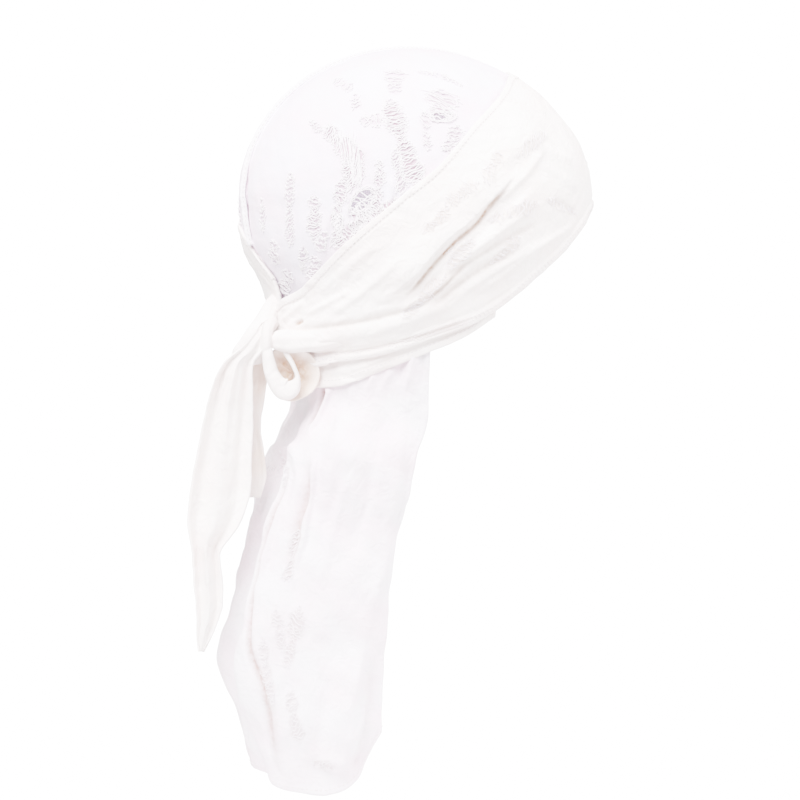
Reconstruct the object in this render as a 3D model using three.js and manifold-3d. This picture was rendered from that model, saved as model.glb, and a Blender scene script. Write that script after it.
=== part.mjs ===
// White distressed durag, tied at the nape, with a long tail
import * as THREE from "three";
import { mergeVertices } from "three/addons/utils/BufferGeometryUtils.js";
import Module from "manifold-3d";

const wasm = await Module();
wasm.setup();

// Driving sizes in millimetres. X points to the forehead, Y to the wearer's left, Z up.
const headHalfLength = 97; // inside of the cap, middle to forehead
const headHalfBreadth = 76; // inside of the cap, middle to side
const crownHeight = 82; // widest level up to the inside of the top
const napeDrop = 104; // widest level down to the lowest edge at the nape
const clothWall = 1.5; // one layer of cotton
const layerGap = 0.5; // air between two layers
const foldHeight = 5; // highest pleat of the wide wrap
const wrapLift = 2.4; // extra height of the wide wrap's end over its other end at the knot
const bundleLift = 7.5; // height of the gathered bundle where the wide wrap runs into the knot
const seamWidth = 5;
const seamHeight = 1.6;
const knotLength = 8.5; // width of the band that ties the knot
const knotRadius = 10.5;
const knotSwing = 6; // degrees from the middle of the nape to the knot, to the wearer's right
const loopHalfWidth = 7.8;
const loopHeight = 22;
const loopThickness = 6.5;
const loopDepth = 11;
const tailLength = 247; // top of the tail under the wraps down to its lowest hem
const tailHalfBreadth = 66;
const tailDepth = 58; // half depth of the tail's curve behind the neck
const tailSwing = 110; // how far the tail hangs behind the middle of the head
const tailWall = 1.6;
const tailSpread = 79; // degrees round the head, each way from its back, that the tail's top takes
const longEndLength = 180;
const longEndHalfWidth = 16;
const shortEndLength = 74;
const shortEndHalfWidth = 8;
const endWall = 1.4;
const restTurn = 20; // degrees by which the tie ends face the wearer's right rear

// Levels and shares that place one piece on another
const hemTuck = 0.05; // share of napeDrop by which the crown ends above the wide wrap's edge
const wrapLap = 0.1; // share of napeDrop by which the nape wrap lies under the wide wrap
const knotLevel = -0.735; // share of napeDrop from the widest level down to the knot
const knotNose = 0.62; // front half length of the bundle in the knot, as a share of knotLength
const knotCorner = 0.3; // rounding of the band's edges, as a share of knotLength
const bundleShape = { along: 0.85, across: 0.9, up: 0.78 }; // shares of knotLength and knotRadius
const bundleSpread = { turn: 22, below: 0.085, above: 0.24 }; // degrees, and shares of napeDrop
const tailTopLevel = -0.76;
const tailLeaves = 0.125; // share of the tail's length that lies on the head, under the wraps
const tailEases = 0.07; // share of the tail's length in which it turns from the head to hanging
const grooveSpread = 0.11; // half width of the tail's middle valley, as a share of half its curve

// Turns in degrees where the wide wrap's ends lie one over the other and its pleats fade
const lapTurns = { lifted: -168, level: -158, pleated: -150, calmFrom: 158, calm: 166 };

// Places of the loop and the free ends from the knot's middle, as shares of knotRadius
const loopPlace = { ahead: 0.571, left: -0.381 };
const longEndPlace = { ahead: -0.071, left: -0.552, up: 1.286 };
const shortEndPlace = { ahead: -0.714, left: 0.476, up: -0.924 };

// Faces along and across each cloth piece
const grids = {
  crown: [24, 13],
  seam: [36, 2],
  wideWrap: [76, 12],
  napeWrap: [36, 3],
  longEnd: [8, 18],
  shortEnd: [8, 8],
  tail: [36, 20],
};

// Outline of the head form below its widest level, as shares of the driving sizes
const formRows = [
  { drop: 0, front: 1, back: 1, side: 1 },
  { drop: 0.25, front: 0.99, back: 0.95, side: 0.975 },
  { drop: 0.5, front: 0.96, back: 0.78, side: 0.91 },
  { drop: 0.75, front: 0.92, back: 0.69, side: 0.84 },
  { drop: 1, front: 0.9, back: 0.66, side: 0.78 },
  { drop: 1.25, front: 0.88, back: 0.65, side: 0.74 },
];

// Edges of the wide wrap round the head. Turn is in degrees from the forehead to the wearer's left.
// A level is a share of crownHeight above the widest level, or of napeDrop below it.
const wideWrapRows = [
  { turn: -186, upper: -0.62, lower: -0.83 },
  { turn: -170, upper: -0.515, lower: -0.85 },
  { turn: -154, upper: -0.45, lower: -0.865 },
  { turn: -127, upper: -0.226, lower: -0.837 },
  { turn: -102, upper: 0.1, lower: -0.745 },
  { turn: -81, upper: 0.488, lower: -0.635 },
  { turn: -52, upper: 0.756, lower: -0.315 },
  { turn: -26, upper: 0.815, lower: -0.085 },
  { turn: 0, upper: 0.83, lower: -0.04 },
  { turn: 26, upper: 0.815, lower: -0.085 },
  { turn: 52, upper: 0.756, lower: -0.315 },
  { turn: 81, upper: 0.488, lower: -0.635 },
  { turn: 102, upper: 0.16, lower: -0.745 },
  { turn: 127, upper: -0.08, lower: -0.837 },
  { turn: 154, upper: -0.19, lower: -0.865 },
  { turn: 176, upper: -0.215, lower: -0.85 },
  { turn: 186, upper: -0.38, lower: -0.84 },
];

// Lower edge of the nape wrap. Swing is in degrees from the back of the head, alike on both sides.
const napeWrapRows = [
  { swing: 0, lower: -1 },
  { swing: 34, lower: -0.995 },
  { swing: 48, lower: -0.95 },
  { swing: 60, lower: -0.9 },
  { swing: 77, lower: -0.82 },
  { swing: 92, lower: -0.745 },
  { swing: 104, lower: -0.63 },
];

// Pleats of the wide wrap: a ridge from one place to another, its rise as a share of
// foldHeight, and how far it falls off above and below as shares of napeDrop
const wrapFolds = [
  { turn: -54, level: 0.6, toTurn: -158, toLevel: -0.55, bow: -0.1, rise: 0.4, above: 0.12, below: 0.13 },
  { turn: -58, level: 0.32, toTurn: -134, toLevel: -0.64, bow: -0.12, rise: 1, above: 0.17, below: 0.035 },
  { turn: -60, level: 0, toTurn: -122, toLevel: -0.68, bow: -0.07, rise: 0.55, above: 0.05, below: 0.1 },
  { turn: -56, level: -0.14, toTurn: -106, toLevel: -0.66, bow: -0.03, rise: 0.4, above: 0.04, below: 0.06 },
  { turn: -88, level: -0.6, toTurn: -166, toLevel: -0.7, bow: -0.08, rise: 0.7, above: 0.04, below: 0.05 },
  { turn: -96, level: -0.7, toTurn: -168, toLevel: -0.79, bow: -0.06, rise: 0.6, above: 0.03, below: 0.04 },
  { turn: 54, level: 0.6, toTurn: 158, toLevel: -0.35, bow: -0.1, rise: 0.4, above: 0.12, below: 0.13 },
  { turn: 58, level: 0.3, toTurn: 140, toLevel: -0.6, bow: -0.1, rise: 0.8, above: 0.16, below: 0.05 },
  { turn: 62, level: -0.05, toTurn: 128, toLevel: -0.7, bow: -0.06, rise: 0.5, above: 0.06, below: 0.1 },
];

// Tail sections from its top edge down, as shares of the tail's sizes. Fall is the share of
// tailLength, middle the place behind the head as a share of tailSwing, groove the depth of the
// valley down its middle, and wrap the half angle of the curve in degrees.
const tailRows = [
  { fall: 0, middle: 0.16, depth: 0.97, breadth: 0.97, wrap: 96, groove: 0.02 },
  { fall: 0.1, middle: 0.16, depth: 0.97, breadth: 0.97, wrap: 96, groove: 0.06 },
  { fall: 0.16, middle: 0.17, depth: 0.98, breadth: 0.96, wrap: 96, groove: 0.16 },
  { fall: 0.25, middle: 0.22, depth: 0.97, breadth: 0.9, wrap: 95, groove: 0.22 },
  { fall: 0.36, middle: 0.31, depth: 0.94, breadth: 0.81, wrap: 101, groove: 0.26 },
  { fall: 0.48, middle: 0.395, depth: 0.93, breadth: 0.74, wrap: 106, groove: 0.24 },
  { fall: 0.6, middle: 0.465, depth: 0.94, breadth: 0.71, wrap: 112, groove: 0.2 },
  { fall: 0.71, middle: 0.505, depth: 0.95, breadth: 0.66, wrap: 116, groove: 0.18 },
  { fall: 0.82, middle: 0.51, depth: 0.82, breadth: 0.6, wrap: 120, groove: 0.16 },
  { fall: 0.92, middle: 0.495, depth: 0.67, breadth: 0.55, wrap: 122, groove: 0.14 },
  { fall: 1, middle: 0.47, depth: 0.56, breadth: 0.5, wrap: 122, groove: 0.1 },
];

// Hem of the tail round its curve: how far it stops short of tailLength, as a share of it
const tailHemRows = [
  { across: -1, short: 0.14 },
  { across: -0.86, short: 0.04 },
  { across: -0.62, short: 0.002 },
  { across: -0.34, short: 0.006 },
  { across: -0.14, short: 0.025 },
  { across: 0, short: 0.04 },
  { across: 0.3, short: 0.055 },
  { across: 0.62, short: 0.05 },
  { across: 0.86, short: 0.08 },
  { across: 1, short: 0.17 },
];

// Pleats of the tail: place round the curve where each starts and ends, share of its length
// down, height as a share of foldHeight (negative is a valley), and half width round the curve
const tailFolds = [
  { from: 0.08, to: 0.3, start: -0.24, end: -0.34, height: -0.9, spread: 0.05 },
  { from: 0.08, to: 0.36, start: -0.38, end: -0.42, height: 0.5, spread: 0.07 },
  { from: 0.06, to: 0.26, start: -0.86, end: -0.84, height: -0.8, spread: 0.05 },
  { from: 0.16, to: 0.58, start: -0.3, end: -0.16, height: -0.6, spread: 0.045 },
  { from: 0.5, to: 0.98, start: -0.1, end: -0.3, height: 0.5, spread: 0.06 },
  { from: 0.08, to: 0.4, start: 0.3, end: 0.36, height: -0.8, spread: 0.06 },
  { from: 0.08, to: 0.46, start: 0.66, end: 0.6, height: -0.5, spread: 0.07 },
];

// Free ends from the knot down: out is the place behind the knot and side the place to the
// wearer's right, both as shares of the end's length, half and pleat shares of its half width
const longEndRows = [
  { fall: 0, out: 0, side: 0, half: 0.17, pleat: 0.1 },
  { fall: 0.04, out: 0.023, side: 0.035, half: 0.24, pleat: 0.12 },
  { fall: 0.09, out: 0.056, side: 0.05, half: 0.35, pleat: 0.16 },
  { fall: 0.13, out: 0.093, side: 0.05, half: 0.49, pleat: 0.2 },
  { fall: 0.2, out: 0.111, side: 0.045, half: 0.68, pleat: 0.22 },
  { fall: 0.29, out: 0.123, side: 0.035, half: 0.81, pleat: 0.2 },
  { fall: 0.4, out: 0.137, side: 0.03, half: 0.9, pleat: 0.2 },
  { fall: 0.53, out: 0.151, side: 0.025, half: 1, pleat: 0.18 },
  { fall: 0.62, out: 0.17, side: 0.025, half: 0.83, pleat: 0.2 },
  { fall: 0.69, out: 0.19, side: 0.025, half: 0.47, pleat: 0.22 },
  { fall: 0.78, out: 0.185, side: 0.025, half: 0.45, pleat: 0.18 },
  { fall: 0.87, out: 0.182, side: 0.025, half: 0.42, pleat: 0.12 },
  { fall: 0.955, out: 0.198, side: 0.025, half: 0.24, pleat: 0.06 },
  { fall: 1, out: 0.204, side: 0.025, half: 0.04, pleat: 0 },
];
const shortEndRows = [
  { fall: 0, out: -0.01, side: -0.02, half: 0.5, pleat: 0.25 },
  { fall: 0.15, out: -0.03, side: -0.03, half: 0.9, pleat: 0.3 },
  { fall: 0.5, out: 0.03, side: -0.03, half: 0.8, pleat: 0.2 },
  { fall: 0.85, out: 0, side: -0.03, half: 0.95, pleat: 0.14 },
  { fall: 1, out: 0.03, side: -0.03, half: 0.85, pleat: 0.1 },
];

// Worn-through holes of the right panel. Width and height are shares of headHalfLength.
const holeRows = [
  { turn: -122, level: -0.04, width: 0.13, height: 0.1, slant: -35 },
  { turn: -95, level: 0.49, width: 0.13, height: 0.035, slant: 0 },
  { turn: -130, level: -0.16, width: 0.045, height: 0.08, slant: -15 },
];

const degrees = Math.PI / 180;
const smooth = (low, high, x) => THREE.MathUtils.smoothstep(x, low, high);

// Value of one column of a table at x, on a smooth curve through its rows
function readRow(rows, key, column, x) {
  let i = 0;
  while (i < rows.length - 2 && x > rows[i + 1][key]) i += 1;
  const [before, here, next, after] = [i - 1, i, i + 1, i + 2].map(
    (k) => rows[THREE.MathUtils.clamp(k, 0, rows.length - 1)],
  );
  const span = next[key] - here[key];
  const f = THREE.MathUtils.clamp((x - here[key]) / span, 0, 1);
  const slopeHere = ((next[column] - before[column]) / (next[key] - before[key])) * span;
  const slopeNext = ((after[column] - here[column]) / (after[key] - here[key])) * span;
  const cubic = 2 * f ** 3 - 3 * f ** 2;
  return (
    (cubic + 1) * here[column] +
    (f ** 3 - 2 * f ** 2 + f) * slopeHere -
    cubic * next[column] +
    (f ** 3 - f ** 2) * slopeNext
  );
}

// Way down the head form: 0 at the top, 1 at the widest level, 2 at the bottom of the nape
const wayOf = (level) => (level > 0 ? Math.acos(level) / (Math.PI / 2) : 1 - level);
const levelOf = (way) => (way < 1 ? Math.cos((way * Math.PI) / 2) : 1 - way);

// Point of the bare head form at a turn in degrees and a way down
function formPoint(turn, way) {
  const level = levelOf(way);
  const share = { front: 1, back: 1, side: 1 };
  if (level < 0)
    for (const column of Object.keys(share)) share[column] = readRow(formRows, "drop", column, -level);
  const ring = level > 0 ? Math.sin((way * Math.PI) / 2) : 1;
  const along = Math.cos(turn * degrees);
  const length = headHalfLength * ring * (along > 0 ? share.front : share.back);
  const breadth = headHalfBreadth * ring * share.side;
  return new THREE.Vector3(
    length * along,
    breadth * Math.sin(turn * degrees),
    level * (level > 0 ? crownHeight : napeDrop),
  );
}

// Point that stands off the head form
function offForm(turn, way, height) {
  if (way < 1e-6) return new THREE.Vector3(0, 0, crownHeight + height);
  const point = formPoint(turn, way);
  const round = formPoint(turn + 0.05, way).sub(point);
  const down = formPoint(turn, way + 0.0005).sub(point);
  return point.add(down.cross(round).normalize().multiplyScalar(height));
}

// Closed body between two grids of points, outer and inner
function solidBetween(outer, inner, columns, rows) {
  const positions = [];
  const corner = [];
  for (const side of [outer, inner])
    for (let i = 0; i <= columns; i += 1)
      for (let j = 0; j <= rows; j += 1) positions.push(...side(i / columns, j / rows).toArray());
  const at = (side, i, j) => (side * (columns + 1) + i) * (rows + 1) + j;
  const quad = (a, b, c, d) => corner.push(a, b, c, a, c, d);
  for (let i = 0; i < columns; i += 1)
    for (let j = 0; j < rows; j += 1) {
      quad(at(0, i, j), at(0, i, j + 1), at(0, i + 1, j + 1), at(0, i + 1, j));
      quad(at(1, i, j), at(1, i + 1, j), at(1, i + 1, j + 1), at(1, i, j + 1));
    }
  for (let i = 0; i < columns; i += 1) {
    quad(at(0, i, 0), at(0, i + 1, 0), at(1, i + 1, 0), at(1, i, 0));
    quad(at(0, i, rows), at(1, i, rows), at(1, i + 1, rows), at(0, i + 1, rows));
  }
  for (let j = 0; j < rows; j += 1) {
    quad(at(0, 0, j), at(1, 0, j), at(1, 0, j + 1), at(0, 0, j + 1));
    quad(at(0, columns, j), at(0, columns, j + 1), at(1, columns, j + 1), at(1, columns, j));
  }
  const geometry = new THREE.BufferGeometry();
  geometry.setAttribute("position", new THREE.Float32BufferAttribute(positions, 3));
  geometry.setIndex(corner);
  return faceOut(withoutSlivers(mergeVertices(geometry, 1e-3)));
}

// Drops the triangles that merged corners have made empty
function withoutSlivers(geometry) {
  const kept = [];
  const index = geometry.index.array;
  for (let i = 0; i < index.length; i += 3) {
    const [a, b, c] = index.slice(i, i + 3);
    if (a !== b && b !== c && c !== a) kept.push(a, b, c);
  }
  geometry.setIndex(kept);
  return geometry;
}

// Turns the faces round where the enclosed volume comes out negative
function faceOut(geometry) {
  const place = geometry.attributes.position;
  const index = geometry.index.array;
  const corners = [new THREE.Vector3(), new THREE.Vector3(), new THREE.Vector3()];
  let volume = 0;
  for (let i = 0; i < index.length; i += 3) {
    corners.forEach((corner, k) => corner.fromBufferAttribute(place, index[i + k]));
    volume += corners[0].dot(corners[1].clone().cross(corners[2]));
  }
  if (volume < 0) geometry.setIndex(Array.from(index).reverse());
  return geometry;
}

// Sheet of even thickness about a curved surface
function sheetSolid(surface, wall, grid) {
  const step = 0.002;
  const inside = (x) => (x > 0.5 ? -step : step);
  const side = (height) => (u, v) => {
    const point = surface(u, v);
    const across = surface(u + inside(u), v).sub(point).multiplyScalar(Math.sign(inside(u)));
    const down = surface(u, v + inside(v)).sub(point).multiplyScalar(Math.sign(inside(v)));
    return point.add(across.cross(down).normalize().multiplyScalar(height));
  };
  return solidBetween(side(wall / 2), side(-wall / 2), ...grid);
}

// Solid for joining and cutting, and back
function toSolid(geometry) {
  const bare = geometry.clone();
  bare.deleteAttribute("normal");
  bare.deleteAttribute("uv");
  const merged = withoutSlivers(mergeVertices(bare, 1e-3));
  return new wasm.Manifold(
    new wasm.Mesh({
      numProp: 3,
      vertProperties: merged.attributes.position.array,
      triVerts: new Uint32Array(merged.index.array),
    }),
  );
}
function fromSolid(solid) {
  const { vertProperties, triVerts } = solid.getMesh();
  const geometry = new THREE.BufferGeometry();
  geometry.setAttribute("position", new THREE.BufferAttribute(vertProperties, 3));
  geometry.setIndex(Array.from(triVerts));
  return geometry;
}

const wrapUpper = (turn) => readRow(wideWrapRows, "turn", "upper", turn);
const wrapLower = (turn) => readRow(wideWrapRows, "turn", "lower", turn);

// Lower edge of the crown: under the wide wrap, and just above the tail at the back
const crownHem = (turn) => Math.max(wrapLower(turn) + hemTuck, tailTopLevel + (2 * layerGap) / napeDrop);

// One of the two crown panels, from the front of the head to its back
function crownPanel(firstTurn) {
  const layer = (height) => (u, v) => {
    const turn = firstTurn + 180 * u;
    const point = offForm(turn, v * wayOf(crownHem(turn)), height);
    point.y += (Math.sign(firstTurn + 90) * layerGap) / 2;
    return point;
  };
  return solidBetween(layer(clothWall), layer(0), ...grids.crown);
}

// Cutter for one worn hole, a flat ellipse set square to the cloth
function holeCutter({ turn, level, width, height, slant }) {
  const cutter = new THREE.CylinderGeometry(1, 1, 8 * clothWall, 12);
  cutter.scale((headHalfLength * width) / 2, 1, (headHalfLength * height) / 2);
  cutter.rotateY(slant * degrees);
  const middle = offForm(turn, wayOf(level), clothWall / 2);
  const outward = offForm(turn, wayOf(level), clothWall).sub(middle).normalize();
  const across = new THREE.Vector3(0, 0, 1).cross(outward).normalize();
  const frame = new THREE.Matrix4().makeBasis(across, outward, across.clone().cross(outward));
  return cutter.applyMatrix4(frame.setPosition(middle));
}

function wornPanel(firstTurn) {
  let panel = toSolid(crownPanel(firstTurn));
  for (const row of holeRows) panel = panel.subtract(toSolid(holeCutter(row)));
  return fromSolid(panel);
}

// Raised seam over both panels, from the forehead to the nape
function centreSeam() {
  const back = wayOf(wrapUpper(180) + hemTuck / 2);
  const start = wayOf(wrapUpper(0)) - hemTuck / 2;
  const middleLine = (u) => {
    const way = THREE.MathUtils.lerp(-start, back, u);
    return way < 0 ? [0, -way] : [180, way];
  };
  const side = (height) => (u, v) => {
    const [turn, way] = middleLine(u);
    const crest = height * (1 - 0.5 * (2 * v - 1) ** 2);
    const point = offForm(turn, way, clothWall + layerGap + crest);
    point.y = seamWidth * (v - 0.5);
    return point;
  };
  return solidBetween(side(seamHeight), side(0), ...grids.seam);
}

// Height of the wide wrap's pleats at a place on the head
function pleatHeight(turn, way) {
  let height = 0;
  for (const fold of wrapFolds) {
    const f = (turn - fold.turn) / (fold.toTurn - fold.turn);
    if (f < -0.1 || f > 1.1) continue;
    const level = THREE.MathUtils.lerp(fold.level, fold.toLevel, f) + fold.bow * 4 * f * (1 - f);
    const below = way - wayOf(level);
    const reach = below > 0 ? fold.below : fold.above;
    const fade = smooth(-0.1, 0.15, f) * (1 - smooth(0.85, 1.1, f));
    height += foldHeight * fold.rise * fade * Math.exp(-((below / reach) ** 2));
  }
  return height;
}

// Swell of the gathered bundle that runs into the knot, at a swing to the right of the nape
function bundleSwell(swing, way) {
  const beside = (swing - knotSwing) / bundleSpread.turn;
  const below = way - wayOf(knotLevel);
  const spread = below > 0 ? bundleSpread.below : bundleSpread.above;
  return bundleLift * Math.exp(-(beside ** 2) - (below / spread) ** 2);
}

// The broad strap from the knot round the forehead and back
function wideWrap() {
  const firstTurn = wideWrapRows[0].turn;
  const lastTurn = wideWrapRows[wideWrapRows.length - 1].turn;
  const { lifted, level, pleated, calmFrom, calm } = lapTurns;
  const layer = (height) => (u, v) => {
    const turn = THREE.MathUtils.lerp(firstTurn, lastTurn, u);
    const way = THREE.MathUtils.lerp(wayOf(wrapUpper(turn)), wayOf(wrapLower(turn)), v);
    const overSeam = seamHeight * Math.exp(-((turn / 6) ** 2)) * (1 - smooth(0, 0.3, v));
    const overNape = (clothWall + layerGap) * smooth(0.3, 0.6, v);
    const swing = turn < 0 ? turn + 180 : turn - 180;
    const overEnd = wrapLift * (1 - smooth(lifted, level, turn)) + bundleSwell(swing, way);
    const loose = smooth(lifted, pleated, turn) * (1 - smooth(calmFrom, calm, turn));
    const base = clothWall + layerGap + overSeam + overNape + overEnd;
    return offForm(turn, way, base + loose * pleatHeight(turn, way) + height);
  };
  return solidBetween(layer(clothWall), layer(0), ...grids.wideWrap);
}

// The narrow strip of the first pass that shows under the wide wrap
function napeWrap() {
  const reach = napeWrapRows[napeWrapRows.length - 1].swing;
  const layer = (height) => (u, v) => {
    const swing = THREE.MathUtils.lerp(-reach, reach, u);
    const turn = swing < 0 ? 180 + swing : swing - 180;
    const upper = wrapLower(turn) + wrapLap;
    const lower = readRow(napeWrapRows, "swing", "lower", Math.abs(swing));
    const way = THREE.MathUtils.lerp(wayOf(upper), wayOf(lower), v);
    return offForm(180 + swing, way, clothWall + layerGap + height);
  };
  return solidBetween(layer(clothWall), layer(0), ...grids.napeWrap);
}

// The knot sits on the wide wrap where its bundle swells most
const wrapAtKnot = 3 * clothWall + 2 * layerGap + wrapLift + bundleLift;
const knotHeight = wrapAtKnot + layerGap + knotNose * knotLength;
const knotCentre = offForm(knotSwing - 180, wayOf(knotLevel), knotHeight);

// Place given from the knot's middle in shares of its radius
function placeByKnot({ ahead, left, up }) {
  return new THREE.Vector3(ahead, left, up).multiplyScalar(knotRadius).add(knotCentre);
}

// The band that ties the knot, round the bundle that runs through it
function knotBody() {
  const half = knotLength / 2;
  const corner = knotCorner * knotLength;
  const band = new THREE.LatheGeometry(
    [
      new THREE.Vector2(0, -half),
      new THREE.Vector2(knotRadius - corner, -half),
      new THREE.Vector2(knotRadius, -half + corner),
      new THREE.Vector2(knotRadius, half - corner),
      new THREE.Vector2(knotRadius - corner, half),
      new THREE.Vector2(0, half),
    ],
    18,
  );
  band.rotateZ(Math.PI / 2);
  const bundle = new THREE.SphereGeometry(1, 16, 10);
  bundle.scale(bundleShape.along * knotLength, bundleShape.across * knotRadius, bundleShape.up * knotRadius);
  bundle.translate((knotNose - bundleShape.along) * knotLength, 0, 0);
  const body = toSolid(band).add(toSolid(bundle));
  const geometry = fromSolid(body);
  return geometry.translate(...knotCentre.toArray());
}

// Half bow under the knot: a padded strip bent into a loop that is open at its sides
function knotLoop() {
  const half = loopThickness / 2;
  const narrow = 0.5 * half;
  const depth = loopDepth / 2;
  const straight = 0.6 * depth;
  const section = [
    [-narrow, -depth],
    [narrow, -depth],
    [half, -straight],
    [half, straight],
    [narrow, depth],
    [-narrow, depth],
    [-half, straight],
    [-half, -straight],
  ];
  const outline = new THREE.Shape(section.map(([x, y]) => new THREE.Vector2(x, y)));
  const bends = 12;
  const bend = [];
  for (let k = 0; k <= bends; k += 1) {
    const angle = THREE.MathUtils.lerp(150, 390, k / bends) * degrees;
    bend.push(new THREE.Vector3(loopHalfWidth * Math.cos(angle), 0, (loopHeight / 2) * Math.sin(angle)));
  }
  const path = new THREE.CatmullRomCurve3(bend);
  const strip = new THREE.ExtrudeGeometry(outline, { steps: 20, extrudePath: path });
  strip.rotateZ(-restTurn * degrees);
  const below = knotRadius + layerGap + loopHeight / 8 + half;
  return strip.translate(...placeByKnot({ ...loopPlace, up: -below / knotRadius }).toArray());
}

// Curve of the tail at a place round it, -1 to 1 from the right edge to the left, and a fall
function tailSurface(u, v) {
  const across = 2 * u - 1;
  const fall = v * (1 - readRow(tailHemRows, "across", "short", across));
  const row = (column) => readRow(tailRows, "fall", column, fall);
  const angle = across * row("wrap") * degrees;
  const height = tailTopLevel * napeDrop - fall * tailLength;
  const middle = -tailSwing * row("middle");
  const groove = tailDepth * row("groove") * Math.exp(-((across / grooveSpread) ** 2));
  let swell = 0;
  for (const fold of tailFolds) {
    const f = (fall - fold.from) / (fold.to - fold.from);
    if (f < 0 || f > 1) continue;
    const place = THREE.MathUtils.lerp(fold.start, fold.end, f);
    const fade = smooth(0, 0.2, f) * (1 - smooth(0.7, 1, f));
    swell += foldHeight * fold.height * fade * Math.exp(-(((across - place) / fold.spread) ** 2));
  }
  const hanging = new THREE.Vector3(
    middle - (tailDepth * row("depth") + swell) * Math.cos(angle) + groove,
    (tailHalfBreadth * row("breadth") + swell) * Math.sin(angle),
    height,
  );
  const onHead = offForm(180 - across * tailSpread, 1 - height / napeDrop, tailWall / 2);
  return onHead.lerp(hanging, smooth(tailLeaves, tailLeaves + tailEases, fall));
}

// Free end of a strap, pleated lengthwise, hanging from the knot
function freeEnd(rows, length, halfWidth, start, grid) {
  const across = new THREE.Vector3(Math.cos(restTurn * degrees), -Math.sin(restTurn * degrees), 0);
  const outward = new THREE.Vector3(-Math.sin(restTurn * degrees), -Math.cos(restTurn * degrees), 0);
  const surface = (u, v) => {
    const row = (column) => readRow(rows, "fall", column, v);
    const w = 2 * u - 1;
    const pleat = halfWidth * row("pleat") * Math.cos(1.6 * Math.PI * w);
    return start
      .clone()
      .addScaledVector(across, halfWidth * row("half") * w - length * row("out"))
      .addScaledVector(outward, pleat + length * row("side"))
      .add(new THREE.Vector3(0, 0, -length * v));
  };
  return sheetSolid(surface, endWall, grid);
}

// The long end leaves over the top of the knot, the short one under its back
const longEndStart = placeByKnot(longEndPlace);
const shortEndStart = placeByKnot(shortEndPlace);

const pieces = {
  crown_right: { shape: wornPanel(-180), colour: "#efedf3" },
  crown_left: { shape: crownPanel(0), colour: "#efedf3" },
  centre_seam: { shape: centreSeam(), colour: "#f3f1f5" },
  wide_wrap: { shape: wideWrap(), colour: "#f8f5ee" },
  nape_wrap: { shape: napeWrap(), colour: "#f6f3ec" },
  knot: { shape: knotBody(), colour: "#f9f6ee" },
  knot_loop: { shape: knotLoop(), colour: "#f7f2e6" },
  tie_end_long: {
    shape: freeEnd(longEndRows, longEndLength, longEndHalfWidth, longEndStart, grids.longEnd),
    colour: "#f5f3f4",
  },
  tie_end_short: {
    shape: freeEnd(shortEndRows, shortEndLength, shortEndHalfWidth, shortEndStart, grids.shortEnd),
    colour: "#ece8ec",
  },
  tail: { shape: sheetSolid(tailSurface, tailWall, grids.tail), colour: "#f5f1f4" },
};

// The origin is the inside of the top, where the cap rests on the head
const durag = new THREE.Group();
durag.position.z = -crownHeight;
for (const [name, { shape, colour }] of Object.entries(pieces)) {
  const cotton = new THREE.MeshStandardMaterial({ color: colour, roughness: 0.9, metalness: 0 });
  const mesh = new THREE.Mesh(shape, cotton);
  mesh.name = name;
  durag.add(mesh);
}

export default durag;
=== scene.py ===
"""White distressed durag in its worn form: a two-panel cap, a wide wrap tied at the nape and a long tail."""

import logging
import math
from collections.abc import Sequence
from dataclasses import dataclass
from enum import Enum
from functools import cache

import bpy
import numpy as np
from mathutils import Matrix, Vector
from mathutils.bvhtree import BVHTree


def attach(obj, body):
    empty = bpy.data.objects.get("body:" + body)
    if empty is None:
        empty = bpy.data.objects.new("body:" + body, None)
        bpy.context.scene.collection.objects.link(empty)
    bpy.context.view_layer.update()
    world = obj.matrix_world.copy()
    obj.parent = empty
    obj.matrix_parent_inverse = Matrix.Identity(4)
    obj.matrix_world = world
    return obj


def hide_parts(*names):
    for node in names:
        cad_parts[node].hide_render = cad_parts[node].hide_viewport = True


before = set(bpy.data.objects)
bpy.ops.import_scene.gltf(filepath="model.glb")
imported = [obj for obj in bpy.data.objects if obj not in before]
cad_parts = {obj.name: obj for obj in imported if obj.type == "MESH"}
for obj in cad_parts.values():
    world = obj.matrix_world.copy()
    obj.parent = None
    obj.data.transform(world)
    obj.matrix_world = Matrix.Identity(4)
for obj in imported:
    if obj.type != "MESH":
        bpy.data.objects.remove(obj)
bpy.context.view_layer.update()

log = logging.getLogger("durag")

Array = np.ndarray
Pixels = Sequence[tuple[float, float]]
Tint = tuple[float, float, float]
Socket = bpy.types.NodeSocket

METRES = 0.001  # one millimetre; cloth is worked out in millimetres and made a mesh in metres
TINY = 1e-12  # keeps a length of nothing from being divided by
UP = np.array([0.0, 0.0, 1.0])


def smooth(low: float, high: float, x: Array) -> Array:
    """Soft step from 0 at low to 1 at high.

    Args:
        low: Where the step starts.
        high: Where it ends.
        x: Places to read it at.

    Returns:
        The step's value at each place.
    """
    t = np.clip((x - low) / (high - low), 0.0, 1.0)
    return t * t * (3.0 - 2.0 * t)


def bell(x: Array) -> Array:
    """Round bump of height 1 about 0."""
    return np.exp(-(x**2))


def unit(vectors: Array) -> Array:
    """Vectors drawn to length 1."""
    return vectors / (np.linalg.norm(vectors, axis=-1, keepdims=True) + TINY)


def run_of(route: Array) -> Array:
    """Length of a route up to each of its points."""
    return np.concatenate([[0.0], np.cumsum(np.linalg.norm(np.diff(route, axis=0), axis=1))])


def cells(rows: tuple[float, float, int], columns: tuple[float, float, int]) -> Sequence[Array]:
    """Even steps over a grid.

    Args:
        rows: First value, last value and number of the rows.
        columns: The same for the columns.

    Returns:
        The row's value and the column's value at each point.
    """
    return np.meshgrid(np.linspace(*rows), np.linspace(*columns), indexing="ij")


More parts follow.
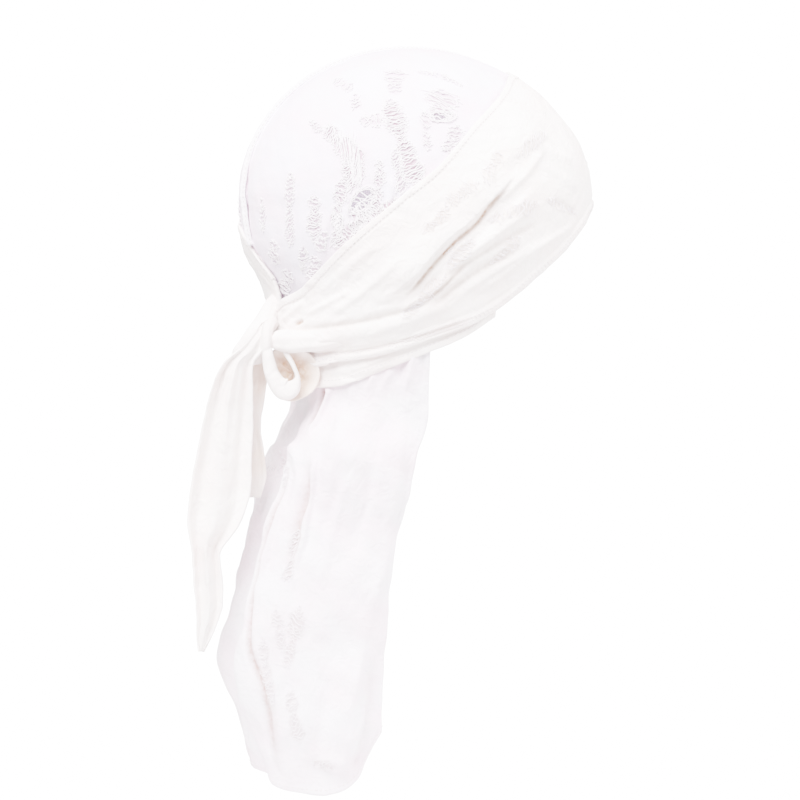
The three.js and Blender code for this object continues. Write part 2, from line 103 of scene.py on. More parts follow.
def grid_faces(rows: int, columns: int, closed: bool = False) -> Array:
    """Faces between the points of a grid.

    Args:
        rows: Number of rows.
        columns: Number of columns.
        closed: Whether the last column joins the first.

    Returns:
        The numbers of each face's four corners.
    """
    at = np.arange(rows * columns).reshape(rows, columns)
    here, after = (at, np.roll(at, -1, axis=1)) if closed else (at[:, :-1], at[:, 1:])
    return np.stack([here[:-1], here[1:], after[1:], after[:-1]], axis=-1).reshape(-1, 4)


def placed(name: str, data: bpy.types.ID) -> bpy.types.Object:
    """New object of the scene that holds a mesh, a camera or a light."""
    made = bpy.data.objects.new(name, data)
    bpy.context.scene.collection.objects.link(made)
    return made


def marked(mesh: bpy.types.Mesh, flat: Array, wear_and_shade: Array) -> None:
    """Shades a mesh smooth and gives it what the finishes read.

    Args:
        mesh: The mesh.
        flat: Places on the flat cloth in millimetres, two for each point, kept as the UV map.
        wear_and_shade: How worn each point is and how much painted shade it has, kept as an attribute.
    """
    corners = np.zeros(len(mesh.loops), dtype=np.int32)
    mesh.loops.foreach_get("vertex_index", corners)
    layer = mesh.uv_layers.new(name="cloth")
    layer.data.foreach_set("uv", (flat[corners] * METRES).astype(np.float32).reshape(-1))
    layer = mesh.attributes.new("wear_and_shade", "FLOAT", "POINT")
    layer.data.foreach_set("value", wear_and_shade.astype(np.float32).reshape(-1))
    mesh.shade_smooth()


class Table:
    """Rows of named columns, read on a smooth curve along the first one."""

    def __init__(self, columns: str, *rows: Sequence[float]) -> None:
        """Keeps the rows.

        Args:
            columns: Names of the columns, apart by spaces.
            rows: One row of numbers for each section, in the order of the first column.
        """
        self.key, *_ = names = columns.split()
        self.values = dict(zip(names, np.array(rows, dtype=float).T))

    def read(self, column: str, x: Array) -> Array:
        """Value of a column.

        Args:
            column: Name of the column.
            x: Places along the first column.

        Returns:
            The column's value at each place.
        """
        key, value = self.values[self.key], self.values[column]
        last = len(key) - 1
        here = np.clip(np.searchsorted(key, x, side="left") - 1, 0, last - 1)
        before, after = np.maximum(here - 1, 0), np.minimum(here + 2, last)
        span = key[here + 1] - key[here]
        f = np.clip((x - key[here]) / span, 0.0, 1.0)
        slope_here = (value[here + 1] - value[before]) / (key[here + 1] - key[before]) * span
        slope_next = (value[after] - value[here]) / (key[after] - key[here]) * span
        cubic = 2 * f**3 - 3 * f**2
        return (
            (cubic + 1) * value[here]
            + (f**3 - 2 * f**2 + f) * slope_here
            - cubic * value[here + 1]
            + (f**3 - f**2) * slope_next
        )


@dataclass(frozen=True)
class HeadForm:
    """Inside of the cap, in millimetres from the inside of its top. Turn is in degrees from the
    forehead to the wearer's left, and way runs from 0 at the top past 1 at the widest level."""

    half_length: float = 97.0
    half_breadth: float = 76.0
    crown_height: float = 82.0
    nape_drop: float = 104.0
    outline: Table = Table(
        "drop front back side",
        (0, 1, 1, 1),
        (0.25, 0.99, 0.95, 0.975),
        (0.5, 0.96, 0.78, 0.91),
        (0.75, 0.92, 0.69, 0.84),
        (1, 0.9, 0.66, 0.78),
        (1.25, 0.88, 0.65, 0.74),
    )

    @property
    def middle(self) -> Array:
        """Middle of the head at its widest level."""
        return np.array([0.0, 0.0, -self.crown_height])

    def way(self, level: Array) -> Array:
        """Way down the form to a level, a share of the height above or below the widest one."""
        level = np.asarray(level, dtype=float)
        return np.where(level > 0, np.arccos(np.clip(level, 0, 1)) * 2 / np.pi, 1 - level)

    def bare(self, turn: Array, way: Array) -> Array:
        """Points of the form itself at turns and ways."""
        level = np.where(way < 1, np.cos(np.minimum(way, 1) * np.pi / 2), 1 - way)
        drop = np.maximum(-level, 0)
        ring = np.where(level > 0, np.sin(np.minimum(way, 1) * np.pi / 2), 1.0)
        along = np.cos(np.radians(turn))
        share = np.where(along > 0, self.outline.read("front", drop), self.outline.read("back", drop))
        return np.stack(
            [
                self.half_length * ring * share * along,
                self.half_breadth * ring * self.outline.read("side", drop) * np.sin(np.radians(turn)),
                level * np.where(level > 0, self.crown_height, self.nape_drop) - self.crown_height,
            ],
            axis=-1,
        )

    def off(self, turn: Array, way: Array, height: Array) -> Array:
        """Points that stand off the form.

        Args:
            turn: Degrees round the head.
            way: Way down the form.
            height: Distance off it in millimetres.

        Returns:
            One point for each turn, way and height.
        """
        down, aside = 0.0005, 0.05
        turn, way, height = np.broadcast_arrays(turn, np.maximum(way, 1e-4), height)
        point = self.bare(turn, way)
        outward = unit(np.cross(self.bare(turn, way + down) - point, self.bare(turn + aside, way) - point))
        return point + outward * height[..., None]


@dataclass(frozen=True)
class PhotoView:
    """Camera of the photo, which looks level at the wearer's right side from a little behind."""

    azimuth: float = -20.0
    distance: float = 2200.0
    pixels_per_mm: float = 1.8
    frame_pixels: float = 800.0
    sensor: float = 36.0
    aside: float = -6.94
    height: float = -193.1

    @property
    def right(self) -> Array:
        """Direction of the frame's right side."""
        return np.array([math.cos(math.radians(self.azimuth)), math.sin(math.radians(self.azimuth)), 0.0])

    @property
    def back(self) -> Array:
        """Direction from the object to the camera."""
        return np.array([math.sin(math.radians(self.azimuth)), -math.cos(math.radians(self.azimuth)), 0.0])

    @property
    def place(self) -> Array:
        """Where the camera stands."""
        return self.right * self.aside + self.back * self.distance + UP * self.height

    @property
    def lens(self) -> float:
        """Focal length in millimetres."""
        return self.sensor * self.distance * self.pixels_per_mm / self.frame_pixels

    def ray(self, pixel: tuple[float, float]) -> Array:
        """Direction from the camera through a pixel."""
        half = self.frame_pixels / 2
        reach = self.distance * self.pixels_per_mm
        across = self.right * (pixel[0] - half) / reach - UP * (pixel[1] - half) / reach
        return (across - self.back) / np.linalg.norm(across - self.back)

    def at(self, pixel: tuple[float, float], depth: float) -> Array:
        """Point behind a pixel.

        Args:
            pixel: The pixel.
            depth: How far the point lies towards the camera from the object's upright axis.

        Returns:
            The point.
        """
        direction = self.ray(pixel)
        return self.place + direction * (depth - self.distance) / float(direction @ self.back)

    def make(self) -> None:
        """Makes the camera and sets it as the scene's."""
        data = bpy.data.cameras.new("photo_camera")
        data.lens = self.lens
        data.sensor_width = self.sensor
        camera = placed("photo_camera", data)
        camera.location = Vector(self.place * METRES)
        camera.rotation_euler = Vector(self.back).to_track_quat("Z", "Y").to_euler()
        bpy.context.scene.camera = camera


VIEW = PhotoView()
HEAD = HeadForm()


def bent(points: Array, step: float) -> Array:
    """Smooth curve through points.

    Args:
        points: The points, in any number of dimensions.
        step: Distance between the curve's own points.

    Returns:
        Points of the curve, both ends included.
    """
    points = np.asarray(points, dtype=float)
    ends = np.concatenate([[2 * points[0] - points[1]], points, [2 * points[-1] - points[-2]]])
    pieces = []
    for a, b, c, d in zip(ends, ends[1:], ends[2:], ends[3:]):
        count = max(1, int(np.linalg.norm(c - b) / step))
        t = np.arange(count)[:, None] / count
        pieces.append(
            0.5 * (2 * b + (c - a) * t + (2 * a - 5 * b + 4 * c - d) * t**2 + (3 * b - a - 3 * c + d) * t**3)
        )
    return np.concatenate([*pieces, points[-1:]])


class Side(Enum):
    """The wearer's side that something is laid on."""

    NEAR = 1.0
    FAR = -1.0


class Skin:
    """A surface that folds, threads and stitches are laid on by pixels of the photo."""

    def __init__(self, grid: Array, turned: bool) -> None:
        """Takes the surface.

        Args:
            grid: Points of the surface, in rows and columns.
            turned: Whether its rows and columns run so that its own normals look inward.
        """
        self.outward = -1.0 if turned else 1.0
        faces = grid_faces(*grid.shape[:2])
        self.tree = BVHTree.FromPolygons(grid.reshape(-1, 3).tolist(), faces.tolist())

    def place(self, pixels: Pixels, side: Side) -> Array:
        """Points of the surface behind pixels, or across the head from them.

        Args:
            pixels: Places in the photo.
            side: The side they are laid on.

        Returns:
            One point on the surface for each pixel.
        """
        found = []
        mirror = np.array([1.0, side.value, 1.0])
        eye = Vector(VIEW.place * mirror)
        for pixel in pixels:
            direction = Vector(VIEW.ray(tuple(pixel)) * mirror)
            hit = self.tree.ray_cast(eye, direction)[0]
            if hit is None:
                reach = (Vector((0.0, 0.0, VIEW.height)) - eye).dot(direction)
                hit = self.tree.find_nearest(eye + direction * reach)[0]
            found.append(hit)
        return np.array(found)

    def seat(self, points: Array, height: Array) -> Array:
        """Points moved onto the surface and off it by a height.

        Args:
            points: Points near the surface.
            height: How far each one stands off its outer side.

        Returns:
            The moved points.
        """
        moved = []
        for point, rise in zip(points, np.broadcast_to(height, len(points))):
            hit, normal, _, _ = self.tree.find_nearest(Vector(point))
            moved.append(hit + normal * float(rise * self.outward))
        return np.array(moved)


@dataclass(frozen=True)
class Fold:
    """A ridge or valley along a route of pixels. Left and right are its half widths on each side
    of that route as one goes along it, lean is how far its crest hangs over the left side, and
    the last field is how much painted shade its middle gets, laid on in the finish's worn tint."""

    route: Pixels
    height: float
    left: float
    right: float
    lean: float = 0.0
    starts: float = 0.2
    ends: float = 0.2
    painted_shade: float = 0.0


@dataclass(frozen=True)
class Ladder:
    """A stretch of worn cloth along a route of pixels, with loose threads across it and frayed
    lips. Width, spacing and the radius of any eyelets along it are in millimetres."""

    route: Pixels
    width: float
    spacing: float = 1.6
    wear_and_shade: float = 0.8
    eyelets: float = 0.0

    def half(self, share: Array) -> Array:
        """Half width at shares of its length: uneven, and drawn in at both ends."""
        phase = 0.7 * self.route[0][0] + 1.3 * self.route[0][1]
        waves = 0.24 * np.sin(9 * share + phase) + 0.16 * np.sin(23 * share + 2 * phase)
        ends = 0.35 + 0.65 * smooth(-0.02, 0.2, share) * (1 - smooth(0.8, 1.02, share))
        return self.width / 2 * (0.86 + waves) * ends


@dataclass(frozen=True)
class Hole:
    """A place that is worn through, given by its outline in pixels, with strands left across it."""

    outline: Pixels
    strands: int = 3


def toward_route(points: Array, route: Array) -> tuple[Array, Array, Array, Array]:
    """Nearest places of a route.

    Args:
        points: Points to start from.
        route: Points of the route.

    Returns:
        Each point's distance, its place along the route from 0 to 1, the way from the route to
        the point, and the route's direction there.
    """
    start, along = route[:-1], np.diff(route, axis=0)
    length = np.linalg.norm(along, axis=1)
    begins = run_of(route)[:-1]
    away = points[:, None, :] - start[None]
    t = np.clip((away * along).sum(2) / (length**2 + TINY), 0, 1)
    gap = away - t[..., None] * along
    distance = np.linalg.norm(gap, axis=2)
    pick = distance.argmin(1)
    row = np.arange(len(points))
    place = (begins[pick] + t[row, pick] * length[pick]) / length.sum()
    direction = along[pick] / (length[pick, None] + TINY)
    return distance[row, pick], place, gap[row, pick], direction


@dataclass(frozen=True)
class Ripple:
    """Soft unevenness, as a sum of waves in random directions. Seed starts the random draws, length
    is the distance between ripples and height is theirs, in millimetres. Evened is what the sum of
    the waves is divided by, about the square root of their number."""

    seed: int
    length: float
    height: float
    waves: int = 7
    evened: float = 2.6


@dataclass(frozen=True)
class Creases:
    """Short fine creases, strewn at random. Seed starts the random draws, length is their middling
    length and height is the most they rise or sink, in millimetres. They run roughly with the rows
    where the axis is 0, and with the columns where it is 1."""

    seed: int
    count: int
    length: float
    height: float
    axis: int


@dataclass(frozen=True)
class Hem:
    """An edge that is turned under: the strip's width and height, and how far from the edge its
    stitches run and swing to and fro, in millimetres."""

    width: float
    height: float
    stitches: float = 0.0
    zigzag: float = 0.0


class Cloth:
    """A sheet of cloth as a grid of points, with what is laid on it."""

    def __init__(self, grid: Array, flat: Array, inside: Array) -> None:
        """Takes the smooth sheet.

        Args:
            grid: Points of its outer face, in rows and columns.
            flat: Places on the flat cloth in millimetres, two for each point.
            inside: A point that its inner face looks at.
        """
        self.grid = grid
        self.flat = flat
        self.base = grid.reshape(-1, 3)
        normal = unit(np.cross(np.gradient(grid, axis=0), np.gradient(grid, axis=1)).reshape(-1, 3))
        self.turned = float((normal * (self.base - inside)).sum()) < 0
        self.normal = -normal if self.turned else normal
        self.rise = np.zeros(len(self.base))
        self.shift = np.zeros_like(self.base)
        # wear collects real wear and painted shade alike: folds, the tail's far lobe and ladder gaps darken
        # the cloth through it
        self.wear_and_shade = np.zeros(len(self.base))
        self.skin = Skin(grid, self.turned)

    def fold(self, folds: Sequence[Fold], side: Side = Side.NEAR) -> None:
        """Lays folds on the cloth, on the near side or mirrored on the far one."""
        for fold in folds:
            route = self.skin.place(bent(fold.route, 5.0), side)
            near = self._close_to(route, 2.6 * max(fold.left, fold.right))
            if not near.size:
                continue
            distance, place, gap, direction = toward_route(self.base[near], route)
            leftward = np.cross(self.normal[near], direction) * side.value
            on_left = (gap * leftward).sum(1) > 0
            shape = bell(distance / np.where(on_left, fold.left, fold.right))
            shape *= smooth(-1e-3, fold.starts, place) * (1 - smooth(1 - fold.ends, 1.001, place))
            self.rise[near] += fold.height * shape
            # painted shade: the fold's middle takes the worn tint, darkening its valley
            self.wear_and_shade[near] = np.maximum(self.wear_and_shade[near], fold.painted_shade * shape)
            self.shift[near] += leftward * (fold.lean * shape**2)[:, None]

    def fray(self, ladders: Sequence[Ladder], seed: int, side: Side = Side.NEAR) -> None:
        """Wears the cloth thin along ladders, with a hollow down each and frayed lips."""
        chance = np.random.default_rng(seed)
        for ladder in ladders:
            route = self.skin.place(bent(ladder.route, 5.0), side)
            near = self._close_to(route, ladder.width)
            if not near.size:
                continue
            distance, place, _, _ = toward_route(self.base[near], route)
            ragged = 1 + chance.normal(0, 0.09, len(near))
            across = distance / (ladder.half(place) * ragged)
            # the worn tint in the ladder is partly wear and partly painted shade in the gaps between loose
            # threads
            worn = ladder.wear_and_shade * (1 - smooth(0.72, 1.08, across))
            worn *= smooth(-0.02, 0.1, place) * (1 - smooth(0.9, 1.02, place))
            self.wear_and_shade[near] = np.maximum(self.wear_and_shade[near], worn)
            lips, hollow = 0.55 * bell((across - 1.05) / 0.22), 0.75 * bell(across / 0.75)
            self.rise[near] += ladder.wear_and_shade * (lips - hollow)

    def ripple(self, ripples: Sequence[Ripple], share: Array | float = 1.0) -> None:
        """Adds soft unevenness.

        Args:
            ripples: The ripples.
            share: Share of them at each point.
        """
        for ripple in ripples:
            chance = np.random.default_rng(ripple.seed)
            waves = np.zeros(len(self.base))
            for _ in range(ripple.waves):
                direction = chance.normal(size=3)
                length = ripple.length * chance.uniform(0.7, 1.5)
                direction *= 2 * np.pi / (length * np.linalg.norm(direction))
                waves += np.sin(self.base @ direction + chance.uniform(0, 2 * np.pi))
            self.rise += ripple.height * waves / ripple.evened * share

    def crinkle(self, creases: Creases) -> None:
        """Strews short fine creases."""
        chance = np.random.default_rng(creases.seed)
        along = unit(np.gradient(self.grid, axis=creases.axis).reshape(-1, 3))
        for start in chance.integers(0, len(self.base), creases.count):
            way = unit(along[start] + chance.normal(0, 0.3, 3))
            half = creases.length * chance.uniform(0.5, 1.3) / 2
            near = self._close_to(self.base[start][None], half)
            offset = self.base[near] - self.base[start]
            run = offset @ way
            aside = np.linalg.norm(offset - run[:, None] * way, axis=1)
            crease = bell(aside / chance.uniform(0.9, 1.6)) * np.clip(1 - (run / half) ** 2, 0, 1)
            self.rise[near] += creases.height * chance.uniform(-1, 1) * crease

    def edge(self, axis: int, last: bool) -> Array:
        """Distance of each point from one edge of the sheet, along the cloth.

        Args:
            axis: 0 for an edge across the rows, 1 for one across the columns.
            last: Whether it is the last such edge.

        Returns:
            The distance in millimetres at each point.
        """
        step = np.linalg.norm(np.diff(self.grid, axis=axis), axis=2)
        pad = [(1, 0) if k == axis else (0, 0) for k in range(2)]
        distance = np.cumsum(np.pad(step, pad), axis=axis)
        if last:
            distance = np.take(distance, [-1], axis=axis) - distance
        return distance.reshape(-1)

    def hem(self, distance: Array, hem: Hem) -> None:
        """Turns an edge under: a raised strip with a rolled rim and a sunk line of stitches.

        Args:
            distance: Distance of each point from the edge.
            hem: Sizes of the hem.
        """
        strip = 1 - smooth(hem.width - 0.6, hem.width + 0.5, distance)
        self.rise += hem.height * strip * (0.55 + 0.45 * np.abs(np.sin(np.pi * distance / hem.width)) ** 0.5)
        self.rise -= 0.5 * hem.height * bell((distance - hem.width - 0.3) / 0.7)

    def hold(self, depth: float) -> None:
        """Keeps valleys from sinking deeper than the layer below allows."""
        self.rise = np.where(self.rise < 0, -depth * np.tanh(-self.rise / depth), self.rise)

    def points(self) -> Array:
        """Points of the outer face with all that is laid on it, in the grid's order."""
        return self.base + self.normal * self.rise[:, None] + self.shift

    def formed(self) -> Skin:
        """The folded outer face, for threads and stitches to lie on."""
        return Skin(self.points().reshape(self.grid.shape), self.turned)

    def line(self, distance: Array, at: float, zigzag: float = 0.0, step: float = 1.4) -> Array:
        """Route just above the cloth, along an edge that runs with the rows.

        Args:
            distance: Distance of each point from that edge.
            at: The distance to follow.
            zigzag: How far the route swings to each side of it.
            step: Distance between its points.

        Returns:
            Points of the route.
        """
        shape = self.grid.shape[:2]
        away = distance.reshape(shape)
        place = (self.points() + self.normal * 0.12).reshape(*shape, 3)
        middle = place[:, shape[1] // 2]
        length = run_of(middle)
        rows = np.interp(np.arange(0, length[-1], step), length, np.arange(shape[0]))
        low = np.minimum(rows.astype(int), shape[0] - 2)
        share = (rows - low)[:, None]
        away = away[low] * (1 - share) + away[low + 1] * share
        place = place[low] * (1 - share[..., None]) + place[low + 1] * share[..., None]
        order = 1 if away[0, -1] > away[0, 0] else -1
        wanted = at + zigzag * (-1.0) ** np.arange(len(rows))
        return np.array(
            [
                [np.interp(w, d[::order], q[::order, k]) for k in range(3)]
                for w, d, q in zip(wanted, away, place)
            ]
        )

    def mesh(self, name: str, wall: float, holes: Sequence[Hole] = ()) -> bpy.types.Object:
        """Makes the sheet's mesh, with its wall on the inner side.

        Args:
            name: Name of the piece.
            wall: Thickness of the cloth in millimetres.
            holes: Places on the near side that are worn through.

        Returns:
            The piece, closed all round.
        """
        quads, points = grid_faces(*self.grid.shape[:2]), self.points()
        for hole in holes:
            quads, points = self._worn_through(hole, quads, points)
        if self.turned:
            quads = quads[:, ::-1]
        used, packed = np.unique(quads, return_inverse=True)
        mesh = bpy.data.meshes.new(name)
        mesh.from_pydata((points[used] * METRES).tolist(), [], packed.reshape(-1, 4).tolist())
        marked(mesh, self.flat.reshape(-1, 2)[used], self.wear_and_shade[used])
        piece = placed(name, mesh)
        solid = piece.modifiers.new("wall", "SOLIDIFY")
        solid.thickness = wall * METRES
        solid.offset = -1.0
        return settled(piece)

    def _close_to(self, route: Array, reach: float) -> Array:
        """Numbers of the points that lie within reach of a route's box."""
        low, high = route.min(0) - reach, route.max(0) + reach
        return np.flatnonzero(((self.base > low) & (self.base < high)).all(1))

    def _worn_through(self, hole: Hole, quads: Array, points: Array) -> tuple[Array, Array]:
        """Takes the faces inside a hole out and draws the rim's points onto its outline."""
        ring = self.skin.place(hole.outline, Side.NEAR)
        middle = ring.mean(0)
        outward = self.normal[np.linalg.norm(self.base - middle, axis=1).argmin()]
        across = unit(np.cross(UP, outward))
        axes = np.stack([across, np.cross(outward, across)])
        flat_ring = (ring - middle) @ axes.T
        reach = 1.6 * np.linalg.norm(ring - middle, axis=1).max()
        near = np.linalg.norm(self.base - middle, axis=1) < reach
        flat = (self.base - middle) @ axes.T
        inside = np.zeros(len(self.base), dtype=bool)
        for (x0, y0), (x1, y1) in zip(flat_ring, np.roll(flat_ring, -1, axis=0)):
            crosses = (y0 > flat[:, 1]) != (y1 > flat[:, 1])
            with np.errstate(divide="ignore", invalid="ignore"):
                inside ^= crosses & (flat[:, 0] < (x1 - x0) * (flat[:, 1] - y0) / (y1 - y0) + x0)
        inside &= near
        gone = inside[quads].sum(1) >= 3
        kept = quads[~gone]
        rim = np.intersect1d(np.unique(quads[gone]), np.unique(kept))
        closed = np.concatenate([ring, ring[:1]])
        distance, _, gap, _ = toward_route(self.base[rim], closed)
        points = points.copy()
        points[rim] -= gap * np.clip(distance, 0, 0.9)[:, None] / (distance[:, None] + 1e-9)
        self.wear_and_shade[rim] = 1.0
        return kept, points


def settled(piece: bpy.types.Object) -> bpy.types.Object:
    """Turns a piece's modifiers into plain mesh.

    Args:
        piece: The piece with its modifiers.

    Returns:
        The same piece without them.
    """
    graph = bpy.context.evaluated_depsgraph_get()
    made = bpy.data.meshes.new_from_object(
        piece.evaluated_get(graph), preserve_all_data_layers=True, depsgraph=graph
    )
    old = piece.data
    piece.modifiers.clear()
    piece.data = made
    bpy.data.meshes.remove(old)
    made.name = piece.name
    return piece


class Nodes:
    """A node tree that is filled by short calls."""

    def __init__(self, tree: bpy.types.NodeTree) -> None:
        """Takes the tree."""
        self.tree = tree

    def add(self, kind: str, inputs: dict | None = None, **settings: object) -> bpy.types.Node:
        """Adds a node.

        Args:
            kind: Its type.
            inputs: Values or sockets for its inputs, by name or number.
            settings: Its own settings.

        Returns:
            The node.
        """
        node = self.tree.nodes.new(kind)
        for name, value in settings.items():
            setattr(node, name, value)
        for name, value in (inputs or {}).items():
            if isinstance(value, bpy.types.NodeSocket):
                self.tree.links.new(value, node.inputs[name])
            else:
                node.inputs[name].default_value = value
        return node

    def out(self, kind: str, inputs: dict | None = None, **settings: object) -> Socket:
        """Adds a node, as add does, and gives its first output."""
        return self.add(kind, inputs, **settings).outputs[0]

    def math(self, operation: str, a: object, b: object = 0.0) -> Socket:
        """Result of a sum on two numbers or sockets."""
        return self.out("ShaderNodeMath", {0: a, 1: b}, operation=operation)

    def plus(self, a: object, b: object) -> Socket:
        """Two numbers or sockets added."""
        return self.math("ADD", a, b)

    def times(self, a: object, b: object) -> Socket:
        """Two numbers or sockets multiplied."""
        return self.math("MULTIPLY", a, b)

    def noise(self, place: Socket, scale: float, detail: float, **inputs: float) -> Socket:
        """Value of a noise texture.

        Args:
            place: Where it is read.
            scale: How fine it is.
            detail: Its levels of detail.
            inputs: Its other inputs by name.

        Returns:
            The value's socket.
        """
        return self.out("ShaderNodeTexNoise", {"Vector": place, "Scale": scale, "Detail": detail, **inputs})

    def mix(self, share: Socket, first: Tint | Socket, second: Tint | Socket) -> Socket:
        """Mix of two colours.

        Args:
            share: Share of the second one.
            first: The first colour, as a tint or a socket.
            second: The second one.

        Returns:
            The colour's socket.
        """
        node = self.add("ShaderNodeMix", {"Factor": share}, data_type="RGBA")
        for socket, colour in zip((s for s in node.inputs if s.type == "RGBA"), (first, second)):
            if isinstance(colour, Socket):
                self.tree.links.new(colour, socket)
            else:
                socket.default_value = (*colour, 1)
        return next(s for s in node.outputs if s.type == "RGBA")

    def cotton(self, colour: Socket, bump: dict, roughness: float, sheen: float) -> None:
        """Ends a material in its shader.

        Args:
            colour: Its colour.
            bump: Inputs of its bump, by name.
            roughness: Its roughness.
            sheen: Weight of its sheen.
        """
        inputs = {
            "Base Color": colour,
            "Roughness": roughness,
            "Sheen Weight": sheen,
            "Sheen Roughness": 0.5,
            "Specular IOR Level": 0.25,
            "Normal": self.out("ShaderNodeBump", bump),
        }
        self.add("ShaderNodeOutputMaterial", {"Surface": self.out("ShaderNodeBsdfPrincipled", inputs)})


def empty_material(name: str) -> tuple[bpy.types.Material, Nodes]:
    """New material without nodes, and what fills it."""
    material = bpy.data.materials.new(name)
    material.use_nodes = True
    material.node_tree.nodes.clear()
    return material, Nodes(material.node_tree)


@dataclass(frozen=True)
class Cotton:
    """Finish of one kind of white cotton. Sizes of the weave are in millimetres, and weave_depth,
    slub, crumple and fuzz are heights in the bump. Shade is a second tint laid on in random
    patches, and the worn tint colours worn places and also paints shade where the wear attribute
    carries it: in creases, in the knot's hollow and on the tail's far lobe."""

    name: str
    slot: str
    tint: Tint
    worn: Tint
    shade: Tint
    weave: float = 0.8
    weave_depth: float = 0.05
    slub: float = 0.12
    crumple: float = 0.8
    fuzz: float = 0.9
    roughness: float = 0.88
    sheen: float = 0.12

    @cache
    def material(self) -> bpy.types.Material:
        """Makes the material: woven bump, slubs, slow changes of tint, and browner worn places, which also
        carry painted shade.
        """
        material, nodes = empty_material(self.name)
        place = nodes.add("ShaderNodeTexCoord").outputs["Object"]
        wear_and_shade = nodes.add("ShaderNodeAttribute", attribute_name="wear_and_shade").outputs["Fac"]
        fuzz = nodes.noise(place, 420.0, 5.0)
        bump = {"Height": self.height(nodes, place, wear_and_shade, fuzz), "Distance": METRES, "Strength": 0.9}
        nodes.cotton(self.colour(nodes, place, wear_and_shade, fuzz), bump, self.roughness, self.sheen)
        return material

    def colour(self, nodes: Nodes, place: Socket, wear_and_shade: Socket, fuzz: Socket) -> Socket:
        """Colour: the tint with random patches of the shade tint, and the worn tint where the cloth is thin
        and where painted shade is laid on.

        Args:
            nodes: Nodes of the material.
            place: Place on the object.
            wear_and_shade: How worn the cloth is, and how much painted shade it has.
            fuzz: Noise of the bare threads.

        Returns:
            The colour's socket.
        """
        blotch = nodes.math("SUBTRACT", nodes.noise(place, 38.0, 3.0), 0.38)
        patches = nodes.out("ShaderNodeClamp", {"Value": nodes.times(blotch, 3.6)})
        # the worn tint is both wear and painted shade, as the wear attribute carries both
        thin = nodes.times(wear_and_shade, nodes.plus(nodes.times(fuzz, 1.3), 0.3))
        whole = nodes.mix(patches, self.tint, self.shade)
        return nodes.mix(nodes.out("ShaderNodeClamp", {"Value": thin}), whole, self.worn)

    def height(self, nodes: Nodes, place: Socket, wear_and_shade: Socket, fuzz: Socket) -> Socket:
        """Height of the bump: the weave where it is whole, crumple, slubs, and fuzz where it is worn.

        Args:
            nodes: Nodes of the material.
            place: Place on the object.
            wear_and_shade: How worn the cloth is, and how much painted shade it has.
            fuzz: Noise of the bare threads.

        Returns:
            The height's socket.
        """
        flat = nodes.add("ShaderNodeSeparateXYZ", {0: nodes.out("ShaderNodeUVMap", uv_map="cloth")}).outputs
        turns = 2 * math.pi / (self.weave * METRES)
        warp, weft = (nodes.math("SINE", nodes.times(flat[axis], turns)) for axis in "XY")
        weave = nodes.times(nodes.times(warp, weft), self.weave_depth)
        crumple = nodes.times(nodes.noise(place, 150.0, 3.0, Distortion=1.2), self.crumple)
        slubs = nodes.times(nodes.noise(place, 900.0, 4.0, Roughness=0.65), self.slub)
        height = nodes.plus(nodes.times(weave, nodes.math("SUBTRACT", 1.0, wear_and_shade)), crumple)
        return nodes.plus(nodes.plus(height, slubs), nodes.times(nodes.times(fuzz, wear_and_shade), self.fuzz))


@dataclass(frozen=True)
class Thread:
    """Finish of the bare cotton threads and stitches."""

    name: str
    tint: Tint
    shade: Tint

    @cache
    def material(self) -> bpy.types.Material:
        """Makes the material: twisted fibre bump and a slow change of tint from place to place."""
        material, nodes = empty_material(self.name)
        place = nodes.add("ShaderNodeTexCoord").outputs["Object"]
        colour = nodes.mix(nodes.noise(place, 260.0, 3.0), self.tint, self.shade)
        bump = {"Height": nodes.noise(place, 2400.0, 2.0), "Distance": 0.1 * METRES}
        nodes.cotton(colour, bump, roughness=0.85, sheen=0.15)
        return material


CROWN_COTTON = Cotton(
    "crown_cotton",
    "crown_cotton",
    tint=(0.84, 0.745, 0.91),
    worn=(0.48, 0.27, 0.38),
    shade=(0.86, 0.66, 0.81),
    crumple=0.48,
)
SEAM_COTTON = Cotton(
    "seam_cotton", "seam_cotton", tint=(0.9, 0.85, 0.93), worn=(0.5, 0.4, 0.46), shade=(0.88, 0.8, 0.88)
)
STRAP_COTTON = Cotton(
    "strap_cotton",
    "strap_cotton",
    tint=(0.97, 0.89, 0.87),
    worn=(0.38, 0.23, 0.15),
    shade=(0.95, 0.82, 0.8),
    crumple=1.2,
)
# A darker, warmer copy of the strap cotton, painted shade for the hollow in the bow and for the short tie end
# that hangs behind the long one.
SHADED_STRAP_COTTON = Cotton(
    "shaded_strap_cotton", "strap_cotton", tint=(0.9, 0.78, 0.74), worn=(0.5, 0.33, 0.2), shade=(0.86, 0.68, 0.56)
)
TAIL_COTTON = Cotton(
    "tail_cotton",
    "tail_cotton",
    tint=(0.87, 0.8, 0.88),
    worn=(0.34, 0.19, 0.17),
    shade=(0.89, 0.69, 0.81),
    crumple=1.2,
)
BARE_THREAD = Thread("bare_thread", tint=(0.93, 0.88, 0.92), shade=(0.88, 0.77, 0.85))
STITCHING = Thread("stitching", tint=(0.8, 0.7, 0.72), shade=(0.72, 0.6, 0.63))
FINE = {"radius": 0.18 * METRES, "waver": 0.5 * METRES}
COARSE = {"radius": 0.3 * METRES, "waver": 0.6 * METRES}


